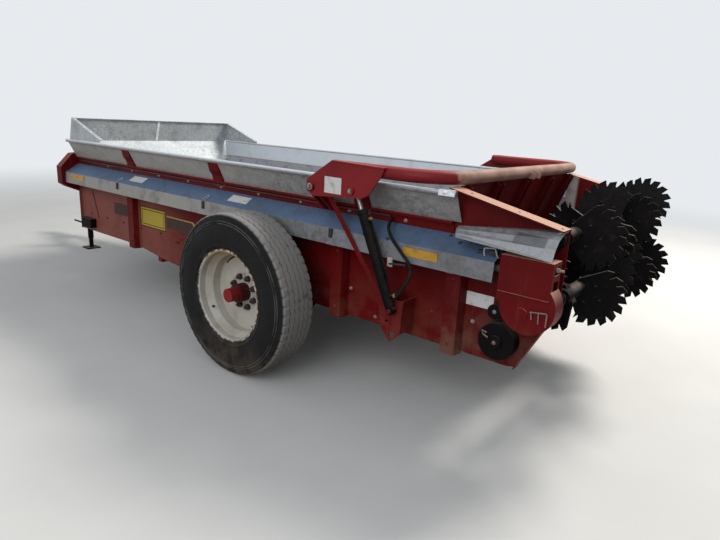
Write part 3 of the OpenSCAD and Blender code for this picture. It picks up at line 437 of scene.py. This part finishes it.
plate_white = flat_finish("plate_white", (0.56, 0.55, 0.54), 0.2, (0.30, 0.25, 0.21))
amber = flat_finish("amber_tape", (0.46, 0.235, 0.014), 0.15, (0.20, 0.10, 0.03), 0.3)
strap_rubber = flat_finish("strap_rubber", (0.012, 0.012, 0.012), 0.2, (0.05, 0.045, 0.04), 0.6)
wire_zinc = flat_finish("latch_wire", (0.40, 0.39, 0.37), 0.25, (0.16, 0.10, 0.07), 0.4)
wire_rusty = flat_finish("guard_wire", (0.21, 0.145, 0.125), 0.25, (0.10, 0.05, 0.035), 0.5)
plate = slab((-0.100, -0.034, 0.0), (0.100, 0.034, 0.0012))
cover_plates = repeated(plate, [on_slope(x, 0.062, 0.0) for x in (1.6425, 0.345)], cover_turn)
add_from_axle("cover_plates", cover_plates, plate_white)
cover_face, tape_face = 0.962, 0.9655
tape = joined(slab((-1.302, cover_face, 0.950), (-1.091, tape_face, 0.996)),
              slab((2.440, cover_face, 0.955), (2.670, tape_face, 1.002)))
add_from_axle("cover_reflectors", tape, amber)

# A hook's wire, as (ahead, down the slope); the straps are at all three places, and two keep their hooks
hook_wire = ((-0.014, 0.142), (-0.014, 0.100), (-0.006, 0.090), (0.006, 0.090), (0.014, 0.100),
             (0.014, 0.142))
strap_places = (1.850, 0.655, -0.574)
hooks = [tube(curve_through([on_slope(x + dx, down, 0.005) for dx, down in hook_wire]), 0.0028, 10)
         for x in strap_places[:2]]
rear_hook = [(-1.545, 0.908, 1.028), (-1.545, 0.936, 1.032), (-1.541, 0.938, 1.060), (-1.549, 0.938, 1.069),
             (-1.588, 0.938, 1.074), (-1.599, 0.938, 1.071), (-1.614, 0.938, 1.036), (-1.614, 0.915, 1.030)]
hooks.append(tube(curve_through(rear_hook), 0.0038, 10))
straps = []
for x in strap_places:
    straps.append(slab((x - 0.013, 0.9600, 0.956), (x + 0.013, 0.9685, 1.010)))
    straps.append(slab((x - 0.009, 0.9655, 0.962), (x + 0.009, 0.9725, 0.978)))
straps.append(slab((-1.606, 0.900, 1.034), (-1.566, 0.932, 1.060)))
straps.append(slab((-1.530, 0.900, 1.032), (-1.500, 0.925, 1.050)))
add_from_axle("cover_hooks", joined(*hooks), wire_zinc)
add_from_axle("cover_straps", joined(*straps), strap_rubber)
tab_face = 0.9695
tab = joined(slab((-1.031, tape_face, 0.872), (-0.997, tab_face, 0.922)),
             repeated(cup_head, [(-1.014, tab_face, 0.889)], outward))
add_from_axle("cover_tab", tab, wire_zinc)
slope_bolts = [on_slope(x, down, 0.0) for x, down in ((-0.978, 0.140), (-1.306, 0.020), (-1.381, 0.060))]
tab_bar = tube([(-1.014, 0.9735, 0.889), (-1.120, 0.9735, 0.900)], 0.0055, 10)
dark_bolts = joined(repeated(cup_head, slope_bolts, cover_turn), tab_bar)
add_from_axle("cover_bolts", dark_bolts, strap_rubber)

# Small parts of the rear guard, the gearbox and the side sheets
# The guard hangs on a boss and a wire latch; its halves meet at a ledge. Each side sheet has a blank plate, a
# handle of bent rod and a thin brace.
guard_wire = [(-1.829, 1.004, 0.831), (-1.833, 1.010, 0.834), (-1.904, 1.010, 0.844), (-1.909, 1.010, 0.840),
              (-1.909, 1.010, 0.782)]
latch = joined(tube(guard_wire, 0.0034, 10),
               tube([(-1.836, 1.008, 0.832), (-1.841, 1.010, 0.799)], 0.0030, 10),
               tube([(-1.870, 1.008, 0.838), (-1.874, 1.010, 0.788)], 0.0030, 10))
gear_loop = [(-1.600, 0.9095, 0.615), (-1.572, 0.9095, 0.628), (-1.566, 0.9095, 0.645),
             (-1.592, 0.9095, 0.640)]
gear_tab = tube(gear_loop, 0.0045, 10)
boss = turned([(0.0115, 0.0), (0.0115, 0.010), (0.0065, 0.012), (0.0065, 0.030), (0.0055, 0.032)], 16)
boss_set = repeated(boss, [(-1.9065, 0.955, 1.036)], (-1, 0, 0))
guard_bolts = repeated(cup_head, [(-1.640, 0.922, 0.601), (-1.612, 0.894, 0.749)], outward)
add_from_axle("guard_latch", joined(latch, gear_tab, boss_set, guard_bolts), wire_rusty)
rear_plate = slab((-1.575, 0.8300, 0.731), (-1.403, 0.8312, 0.803))
add_to_both_sides("rear_blank_plate", rear_plate, plate_white, "frame")
handle_rod = [(1.172, 0.829, 0.598), (1.172, 0.848, 0.598), (1.192, 0.850, 0.598), (1.212, 0.848, 0.598),
              (1.212, 0.829, 0.598)]
brace = tube([(2.567, 0.832, 0.852), (2.474, 0.832, 0.602)], 0.004, 8)
handle_and_brace = joined(tube(curve_through(handle_rod), 0.005, 10), brace)
add_to_both_sides("side_handle", handle_and_brace, box_paint, "frame")

# Moving floor, driveline and other bare steel
# Welded chain with channel slats over a steel floor, scraped bright and then rusted. The shafts are oily, and
# the pipes are painted over.


def worn_steel(name, bright, rust, rusted, metallic=0.45):
    """Steel scraped bare, with rust in patches."""
    f = Finish(name)
    patches = f.noise(9.0, 0.5 - 0.25 * rusted, 0.75 - 0.25 * rusted, 7.0)
    colour = f.mix(patches, bright, rust)
    colour = f.mix(f.times(f.noise(60.0, 0.4, 0.7), 0.35), colour, shade(rust, 0.45))
    return f.shaded(colour, (0.42, 0.85), patches, 0.0006, metallic)


floor_steel = worn_steel("scraped_steel", (0.17, 0.14, 0.12), (0.13, 0.060, 0.032), 0.6)
dress(floor_steel, "floor", "apron", "apron_shafts")
dress(worn_steel("shaft_steel", (0.16, 0.155, 0.15), (0.09, 0.055, 0.04), 0.3), "driveline", "pto_input")
dress(worn_steel("pipe_steel", (0.050, 0.010, 0.009), (0.045, 0.020, 0.014), 0.3, 0.1), "hydraulic_lines")

# Wheels
# Truck-type tyres with zigzag ribs on stud-fixed rims of cream paint, chipped at the lip, with painted warm
# sunlight round the top of the well. The hub is a red casting with a cap.
wheel_centre = (axle_x, 0.522)


def tyre_rubber():
    """Black rubber, greyed on the tread by dust and painted sunlight, with dust and painted glints on the
    sidewall's ribs, and browned low on the sidewall.
    """
    f = Finish("tyre_rubber")
    radius = f.from_axis(*wheel_centre)
    colour = f.mix(f.noise(5.0, 0.3, 0.7, 6.0), (0.0042, 0.0040, 0.0043), (0.0095, 0.0092, 0.0092))
    # The tread is greyed by dust and by painted sunlight.
    tread = f.times(f.between(radius, 0.504, 0.516), f.noise(14.0, 0.12, 0.45, 6.0))
    colour = f.mix(f.times(tread, 0.85), colour, (0.27, 0.255, 0.24))
    # Dust and painted glints of sunlight on the sidewall's two ribs.
    inner_rib = f.times(f.between(radius, 0.4530, 0.4548), f.between(radius, 0.4612, 0.4592))
    outer_rib = f.times(f.between(radius, 0.4680, 0.4698), f.between(radius, 0.4762, 0.4742))
    ribs_dust_and_glint = f.times(f.added(inner_rib, outer_rib), f.noise(7.0, 0.35, 0.6))
    colour = f.mix(f.times(ribs_dust_and_glint, 0.75), colour, (0.115, 0.112, 0.110))
    low = f.times(f.between(f.z, 0.34, 0.02), f.noise(10.0, 0.3, 0.6, 8.0))
    colour = f.mix(f.times(low, 0.5), colour, (0.12, 0.088, 0.062))
    bead = f.times(f.between(radius, 0.335, 0.300), f.noise(16.0, 0.4, 0.65))
    colour = f.mix(f.times(bead, 0.5), colour, (0.10, 0.075, 0.055))
    return f.shaded(colour, (0.58, 0.86), f.noise(180.0, 0.3, 0.7), 0.0003, 0.0, 0.18)


def rim_paint():
    """Cream paint on steel: rust where the lip is chipped, and painted warm sunlight at the top of the well.
    """
    f = Finish("rim_paint")
    radius = f.from_axis(*wheel_centre)
    colour = f.mix(f.noise(4.0, 0.3, 0.7, 5.0), (0.36, 0.34, 0.29), (0.47, 0.445, 0.385))
    # Painted warm sunlight on the top of the well.
    top = f.times(f.between(f.z, 0.62, 0.80), f.between(radius, 0.17, 0.235))
    sunlit_well_top = f.times(top, f.noise(9.0, 0.2, 0.5, 8.0))
    colour = f.mix(f.times(sunlit_well_top, 0.8), colour, (0.50, 0.36, 0.215))
    dirt = f.times(f.noise(6.0, 0.52, 0.75, 8.0), f.between(radius, 0.10, 0.24))
    colour = f.mix(f.times(dirt, 0.45), colour, (0.21, 0.14, 0.085))
    chips = f.times(f.between(radius, 0.284, 0.293), f.noise(26.0, 0.46, 0.52, 5.0))
    colour = f.mix(chips, colour, (0.085, 0.050, 0.032))
    nut_ring = f.times(f.between(radius, 0.074, 0.082), f.between(radius, 0.135, 0.122))
    nut_rust = f.times(nut_ring, f.noise(40.0, 0.44, 0.54, 5.0))
    colour = f.mix(f.times(nut_rust, 0.45), colour, (0.12, 0.085, 0.065))
    return f.shaded(colour, (0.42, 0.75), f.noise(80.0, 0.35, 0.75), 0.0003)


def hub_paint():
    """Red casting: darker at the flange, brighter on the cap."""
    f = Finish("hub_red_paint")
    radius = f.from_axis(*wheel_centre)
    colour = f.mix(f.between(radius, 0.046, 0.043), (0.050, 0.004, 0.005), (0.22, 0.010, 0.012))
    colour = f.mix(f.noise(30.0, 0.55, 0.72, 6.0), colour, (0.035, 0.020, 0.017))
    return f.shaded(colour, (0.40, 0.7), f.noise(90.0, 0.3, 0.7), 0.0004, 0.0, 0.2)


tyre_finish, rim_finish, hub_finish = tyre_rubber(), rim_paint(), hub_paint()
dress(rim_finish, "rim_left", "rim_right")
dress(hub_finish, "hub_left", "hub_right")

tyre_r = (wheel_high.z - wheel_low.z) / 2
tread_edge = 0.104
groove_places = (-0.076, -0.038, 0.0, 0.038, 0.076)
groove_w, groove_depth, tread_crown = 0.009, 0.010, 0.003
# Corners across a groove, as shares of its width, and how deep each lies
groove_shares, groove_levels = np.array([-0.5, -0.28, 0.28, 0.5]), [0, 1, 1, 0]
# Pitches of the zigzag round the tyre, and rows of corners in each; notches are cut in the first rows
pitches, steps, notch_rows = 58, 8, 2
zigzag, notch_depth = 0.0042, 0.005
# The zigzag fades over this distance from the tread's edge; it and the notches stay outside these radii
edge_fade, zigzag_from, notch_from = 0.02, 0.49, 0.495
# Columns of the sidewall: radius, and distance out from the tyre's middle
sidewall = [(0.2863, 0.109), (0.300, 0.119), (0.316, 0.127), (0.322, 0.1335), (0.328, 0.1345), (0.333, 0.133),
            (0.346, 0.137), (0.366, 0.141), (0.391, 0.143), (0.420, 0.1405), (0.440, 0.1365),
            (0.453, 0.1335), (0.455, 0.1365), (0.459, 0.1365), (0.461, 0.1325), (0.468, 0.1315),
            (0.470, 0.1345), (0.474, 0.1345), (0.476, 0.1305), (0.488, 0.128), (0.500, 0.126),
            (0.512, 0.120), (0.518, 0.112)]


def tyre(name, middle_y, body):
    """The section, from bead over the tread to bead, goes round the axle. Across the tread the ribs' edges
    swing from side to side in a triangle wave, the grooves lie deeper, and the outer ribs are notched once a
    pitch."""
    side_r, side_out = np.array(sidewall).T
    grooves = [place + groove_w * groove_shares for place in groove_places]
    across = np.concatenate([[-tread_edge], *grooves, [tread_edge]])
    deep = np.array([0] + groove_levels * len(groove_places) + [0]) * groove_depth
    tread_r = tyre_r - deep - tread_crown * (across / tread_edge) ** 2
    radius = np.concatenate([side_r, tread_r, side_r[::-1]])
    out = np.concatenate([-side_out, across, side_out[::-1]])
    rows = pitches * steps
    row = np.arange(rows)
    wave = 1 - np.abs((row % steps) / steps * 4 - 2)
    sway = np.clip((tread_edge - np.abs(out)) / edge_fade, 0, 1) * (radius > zigzag_from)
    swung = out + zigzag * wave[:, None] * sway
    at_edge = (np.abs(out) > tread_edge - 1e-4) * (radius > notch_from)
    notched = ((row % steps) < notch_rows)[:, None] * at_edge * notch_depth
    r = radius - notched
    angle = row[:, None] * 2 * np.pi / rows
    corners = np.stack([axle_x + r * np.cos(angle), middle_y + swung, tyre_r + r * np.sin(angle)], -1)
    shape = corners.reshape(-1, 3), grid_faces(rows, len(out), True, True).tolist()
    made = add_piece(name, shape, tyre_finish, body, 28)
    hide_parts(name.replace("_tread", ""))


nut = joined(turned([(0.0205, 0.0), (0.0205, 0.003)], 16),
             turned([(0.0192, 0.003), (0.0192, 0.021), (0.0165, 0.024)], 6),
             turned([(0.0095, 0.02), (0.0095, 0.034), (0.0080, 0.036)], 12))
stem = turned([(0.0075, -0.004), (0.0070, 0.004), (0.0042, 0.010), (0.0040, 0.030), (0.0048, 0.031),
               (0.0046, 0.041)], 12)
nut_steel = flat_finish("wheel_nut", (0.026, 0.021, 0.019), 0.3, (0.085, 0.055, 0.040), 0.5)
nut_circle, nut_depth = 0.1016, 0.146 - 0.0004
nut_turns = np.radians(22.5 + 45 * np.arange(8))
valve_circle, valve_depth, valve_turn, valve_out = 0.262, 0.068, math.radians(-32), 0.8


def on_wheel(turn, radius, y):
    """A point of the wheel at a turn from ahead, a radius and a distance along the axle."""
    return axle_x + radius * math.cos(turn), y, tyre_r + radius * math.sin(turn)


for side, direction in both_sides:
    body = "wheel_" + side
    low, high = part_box("rim_" + side)
    outer_face = high.y if direction > 0 else low.y
    tyre("tyre_" + side + "_tread", (low.y + high.y) / 2, body)
    nuts = [on_wheel(turn, nut_circle, outer_face - direction * nut_depth) for turn in nut_turns]
    add_piece("wheel_nuts_" + side, repeated(nut, nuts, (0, direction, 0)), nut_steel, body)
    valve_foot = on_wheel(valve_turn, valve_circle, outer_face - direction * valve_depth)
    lean = (-math.cos(valve_turn), direction * valve_out, -math.sin(valve_turn))
    add_piece("valve_" + side, repeated(stem, [valve_foot], lean), tyre_finish, body)

# Rotors and other black parts
# Flame-cut toothed paddles welded to tubes. Their black paint has gone at the tips, and dry dust lies on top.


def black_paint(name, dust, worn=0.5):
    """Black paint, dusty where it faces up, with brown wear in patches."""
    f = Finish(name)
    colour = f.mix(f.noise(5.0, 0.4, 0.7, 6.0), (0.0035, 0.0028, 0.0030), (0.0065, 0.0052, 0.0052))
    colour = f.mix(f.times(f.noise(22.0, 0.56, 0.72, 6.0), worn), colour, (0.034, 0.020, 0.015))
    top = f.times(f.between(f.up, 0.1, 0.9), f.noise(12.0, 0.2, 0.6, 7.0))
    colour = f.mix(f.times(top, dust), colour, (0.19, 0.165, 0.14))
    return f.shaded(colour, (0.42, 0.72), f.noise(120.0, 0.3, 0.7), 0.0003, 0.0, 0.06)


rotor_black = black_paint("rotor_black_paint", 0.5)
part_black = black_paint("machine_black_paint", 0.3, 0.35)
dress(rotor_black, "rotor_upper", "rotor_lower")
dress(part_black, "jack", "apron_gearbox", "rotor_bearings", "control_valve", "barrel_left", "barrel_right")

# Each rotor's place: behind the axle, its height, and the first paddle's shift to the left; then the turn of
# each paddle from the right side to the left
rotors = {"rotor_upper": (1.865, 1.155, 0.000, (340, 240, 60, 176, 300, 118, 18, 174)),
          "rotor_lower": (1.895, 0.872, 0.093, (60, 180, 136, 270, 20, 230, 154, 30))}
paddle_skew = math.radians(14)
paddle_pitch, paddle_half = 0.186, 0.004
bolt_spots = [(0.062, 0.052), (0.062, -0.052), (0.118, 0.0)]
skew_cos, skew_sin = math.cos(paddle_skew), math.sin(paddle_skew)
skewed = np.array([[skew_cos, skew_sin, 0], [-skew_sin, skew_cos, 0], [0, 0, 1]])
for name, (behind, rise, shift, turns) in rotors.items():
    centre = np.array([axle_x - behind, 0, rise])
    first = (1 - len(turns)) / 2 * paddle_pitch + shift
    heads = []
    for i, turn in enumerate(np.radians(turns)):
        turn_cos, turn_sin = math.cos(turn), math.sin(turn)
        spin = np.array([[turn_cos, 0, turn_sin], [0, 1, 0], [-turn_sin, 0, turn_cos]])
        for face in (1, -1):
            spots = [(x, face * paddle_half, z) for x, z in bolt_spots]
            corners, faces = repeated(hex_head, spots, (0, face, 0))
            place = centre + (0, first + i * paddle_pitch, 0)
            heads.append((corners @ (spin @ skewed).T + place, faces))
    add_piece(name + "_bolts", joined(*heads), rotor_black, name)

# Endgate
# Bent tube with arm plates and a leaning ribbed panel, in brighter red. Its cross tube is scuffed to tan.


def gate_paint():
    """Red paint, pale along the top of the tube and worn to dusty tan behind the bends."""
    f = Finish("gate_red_paint")
    colour = f.mix(f.noise(2.0, 0.3, 0.7), (0.135, 0.0065, 0.0080), (0.215, 0.0110, 0.0135))
    colour = f.mix(f.times(f.between(f.up, 0.45, 0.98), 0.40), colour, (0.46, 0.12, 0.115))
    cloud = f.node("TexNoise", 0, {"Vector": f.place, "Scale": 26.0, "Detail": 6.0})
    ragged = f.node("Math", 0, {0: cloud, 1: 0.22, 2: f.from_middle()}, operation="MULTIPLY_ADD")
    cross_tube = f.times(f.along(-1.16, -1.24), f.between(f.z, 1.325, 1.345))
    tan = f.times(cross_tube, f.between(ragged, 1.005, 0.955))
    dust = f.mix(f.noise(9.0, 0.3, 0.7, 7.0), (0.22, 0.125, 0.092), (0.34, 0.215, 0.16))
    colour = f.mix(f.times(tan, 0.92), colour, dust)
    scuffs = f.times(f.noise(34.0, 0.62, 0.68, 5.0, f.stretched(1, 1, 2)), 0.6)
    colour = f.mix(scuffs, colour, (0.075, 0.030, 0.026))
    relief = f.mix(tan, f.noise(140.0, 0.2, 0.8), (0.8, 0.8, 0.8))
    return f.shaded(colour, (0.30, 0.7), relief, 0.0004, sheen=0.2)


gate_red = gate_paint()
dress(gate_red, "gate_frame")
# The panel's red is darker than the frame's: painted shade.
dress(red_paint("panel_red_paint", (0.095, 0.0045, 0.0060), 0.3), "gate_panel")
dress(red_paint("mount_red_paint", (0.150, 0.0080, 0.0100), 0.4, 0.2), "gate_mounts")
arm_face, bolt_face = 1.050, 1.060
gate_pivot, rod_pin = (-0.486, 1.252), (-0.784, 1.259)
arm_plate = slab((-0.714, arm_face - 0.0005, 1.230), (-0.591, arm_face + 0.0012, 1.320))
add_to_both_sides("arm_blank_plate", arm_plate, plate_white, "endgate")
pivot_head = joined(turned([(0.020, 0.0), (0.020, 0.002)], 24),
                    turned([(0.0135, 0.002), (0.0135, 0.012), (0.012, 0.014)], 6),
                    turned([(0.0065, 0.012), (0.0065, 0.019)], 14))
pivot_nut = repeated(pivot_head, [(gate_pivot[0], bolt_face, gate_pivot[1])], outward)
add_to_both_sides("pivot_nut", pivot_nut, bolt_finish, "frame")
pin_head = joined(turned([(0.0145, 0.0), (0.0145, 0.002)], 20),
                  turned([(0.011, 0.002), (0.011, 0.009), (0.0095, 0.011)], 6))
pin_bolt = repeated(pin_head, [(rod_pin[0], bolt_face, rod_pin[1])], outward)
add_to_both_sides("arm_pin_bolts", pin_bolt, bolt_finish, "endgate")
weld_line = [(x, arm_face + 0.0005, z) for x, z in ((-0.640, 1.405), (-0.820, 1.401), (-0.995, 1.396))]
add_to_both_sides("arm_welds", tube(weld_line, 0.0035, 8), gate_red, "endgate")

# Lifting cylinders
# Chromed rods in black barrels. A steel pipe runs up each barrel in clips, and a rubber hose leaves the port
# at its foot. The port and the gland have brass fittings.


def chrome():
    """Chrome gone slightly milky, its colour darkened with painted shade."""
    f = Finish("rod_chrome")
    # Painted shade: the rods are dark, as they stand in shade.
    colour = f.mix(f.noise(20.0), (0.20, 0.20, 0.205), (0.11, 0.105, 0.10))
    return f.shaded(colour, (0.18, 0.35), f.noise(60.0), 0.0001, metallic=1.0)


def hose_rubber():
    """Matt black rubber with a little dust."""
    f = Finish("hose_rubber")
    colour = f.mix(f.noise(30.0), (0.006, 0.006, 0.006), (0.014, 0.013, 0.012))
    return f.shaded(colour, (0.55, 0.8), f.noise(200.0), 0.0003, sheen=0.12)


dress(chrome(), "rod_left", "rod_right")
rubber = hose_rubber()


hose_r = 0.009
# Route of the left hose: ahead of the axle, out from the middle, and height
hose_route = [(-1.0812, 1.004, 0.7271), (-1.1072, 1.004, 0.7391), (-1.133, 0.999, 0.786),
              (-1.1576, 0.992, 0.8305), (-1.1657, 0.988, 0.8769), (-1.1434, 0.984, 0.9184),
              (-1.082, 0.982, 0.975), (-1.018, 0.975, 1.034), (-0.966, 0.935, 1.082), (-0.936, 0.857, 1.116)]
for side, direction in both_sides:
    route = np.array(hose_route) * (1, direction, 1) + (axle_x, 0, 0)
    path = curve_through(route)
    hose = add_piece("hose_" + side + "_rubber", tube(path, hose_r), rubber, "barrel_" + side)
    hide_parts("hose_" + side)

cylinder_y = 1.004
foot, head = np.array([-1.066, 0.639]), np.array(rod_pin)
up_barrel = (head - foot) / np.linalg.norm(head - foot)
off_barrel = np.array([-up_barrel[1], up_barrel[0]])


def beside_barrel(up, back):
    """A point by the left cylinder: up along it from its foot pin, and back from its axis."""
    x, z = foot + up * up_barrel + back * off_barrel
    return x, cylinder_y, z


rod_shows, gland_drop = 0.110, 0.070
pipe_top, pipe_off = float(np.linalg.norm(head - foot)) - rod_shows - gland_drop, 0.0405
pipe_spots = ((0.170, 0.026), (0.176, 0.036), (0.190, pipe_off), (0.300, pipe_off), (0.420, pipe_off),
              (pipe_top, pipe_off))
pipe_run = [beside_barrel(up, back) for up, back in pipe_spots]
along_barrel = (up_barrel[0], 0, up_barrel[1])
clip = turned([(0.0292, -0.009), (0.0292, 0.009)], 28)
clips = repeated(clip, [beside_barrel(up, 0.0) for up in (0.240, 0.440)], along_barrel)
piping = joined(tube(curve_through(pipe_run, 4), 0.0065, 12), clips)
add_to_both_sides("barrel_pipe", piping, part_black, "barrel_*")
brass = flat_finish("brass_fitting", (0.26, 0.17, 0.055), 0.2, (0.09, 0.06, 0.035), 0.35)
gland_nut = repeated(turned([(0.011, 0.0), (0.011, 0.016)], 6),
                     [beside_barrel(pipe_top, 0.0425)], along_barrel)
port_nut = repeated(turned([(0.0125, 0.0), (0.0125, 0.012), (0.0105, 0.014)], 6),
                    [beside_barrel(0.074, 0.046)], (off_barrel[0], 0, off_barrel[1]))
add_to_both_sides("barrel_fittings", joined(gland_nut, port_nut), brass, "barrel_*")

# Floor, light and camera
# A plain pale floor and soft light; the camera stands where the photograph was taken from.
floor_mesh = bpy.data.meshes.new("ground")
reach, below = 60, -0.001
floor_corners = [(x * reach, y * reach, below) for x, y in ((-1, -1), (1, -1), (1, 1), (-1, 1))]
floor_mesh.from_pydata(floor_corners, [], [(0, 1, 2, 3)])
backdrop = (0.80, 0.83, 0.86)
ground = Finish("pale_ground")
# Outputs of Light Path: 0 is Is Camera Ray, 3 is Is Glossy Ray and 6 is Is Transmission Ray
camera_ray, glossy_ray, through_ray = (ground.node("LightPath", out) for out in (0, 3, 6))
mirrored = ground.node("Math", 0, {0: camera_ray, 1: glossy_ray}, operation="MAXIMUM")
seen_directly = ground.node("Math", 0, {0: mirrored, 1: through_ray}, operation="MAXIMUM")
tone = ground.mix(ground.noise(0.8), (0.56, 0.55, 0.53), (0.59, 0.58, 0.56))
tone = ground.mix(seen_directly, (0.20, 0.185, 0.17), tone)
matt = ground.node("BsdfDiffuse", 0, {0: tone})
glow = ground.node("Emission", 0, {0: (*backdrop, 1.0)})
away = ground.node("VectorMath", 1, {0: ground.place}, operation="LENGTH")
far = ground.times(seen_directly, ground.between(away, 4.5, 13.0))
surface = ground.node("MixShader", 0, {0: far, 1: matt, 2: glow})
ground.tree.links.new(surface, ground.tree.nodes.new("ShaderNodeOutputMaterial").inputs[0])
floor_mesh.materials.append(ground.material)
floor_piece = bpy.data.objects.new("ground", floor_mesh)
bpy.context.scene.collection.objects.link(floor_piece)

world = bpy.data.worlds.new("sky")
bpy.context.scene.world = world
world.use_nodes = True
sky = world.node_tree
sky.nodes.clear()
sky_kinds = ("Background", "Background", "MixShader", "OutputWorld")
lit, seen, which, out = (sky.nodes.new("ShaderNode" + kind) for kind in sky_kinds)
lit.inputs[0].default_value = (0.88, 0.94, 1.0, 1)
lit.inputs[1].default_value = 0.55
seen.inputs[0].default_value = (*backdrop, 1)
rays = sky.nodes.new("ShaderNodeLightPath")
mirrored, through = (sky.nodes.new("ShaderNodeMath") for _ in range(2))
mirrored.operation = through.operation = "MAXIMUM"
sky.links.new(rays.outputs["Is Camera Ray"], mirrored.inputs[0])
sky.links.new(rays.outputs["Is Glossy Ray"], mirrored.inputs[1])
sky.links.new(mirrored.outputs[0], through.inputs[0])
sky.links.new(rays.outputs["Is Transmission Ray"], through.inputs[1])
sky.links.new(through.outputs[0], which.inputs[0])
sky.links.new(lit.outputs[0], which.inputs[1])
sky.links.new(seen.outputs[0], which.inputs[2])
sky.links.new(which.outputs[0], out.inputs[0])


def add_lamp(name, place, target, size, watts, colour):
    """A square lamp turned to its target."""
    lamp = bpy.data.lights.new(name, "AREA")
    lamp.size, lamp.energy, lamp.color = size, watts, colour
    made = bpy.data.objects.new(name, lamp)
    made.location = place
    made.rotation_euler = (Vector(target) - Vector(place)).to_track_quat("-Z", "Y").to_euler()
    bpy.context.scene.collection.objects.link(made)


add_lamp("key", (-4.0, -5.5, 8.0), (0, 0, 0.8), 3.0, 1150, (1.0, 0.96, 0.90))
add_lamp("fill", (-3.0, 8.0, 4.5), (0, 0, 0.8), 6.0, 330, (0.93, 0.96, 1.0))

camera_place = (axle_x - 2.680, 3.357, 1.630)
view = Vector((0.59464, -0.76032, -0.26138))
roll = math.radians(3.15)
level = view.cross((0, 0, 1)).normalized()
right = Matrix.Rotation(-roll, 3, view) @ level
upward = right.cross(view)
lens = bpy.data.cameras.new("camera")
lens.sensor_width = 36
lens.lens = 27.62
camera = bpy.data.objects.new("camera", lens)
camera.matrix_world = Matrix.Translation(camera_place) @ Matrix((right, upward, -view)).transposed().to_4x4()
bpy.context.scene.collection.objects.link(camera)
bpy.context.scene.camera = camera
bpy.context.scene.view_settings.view_transform = "Standard"
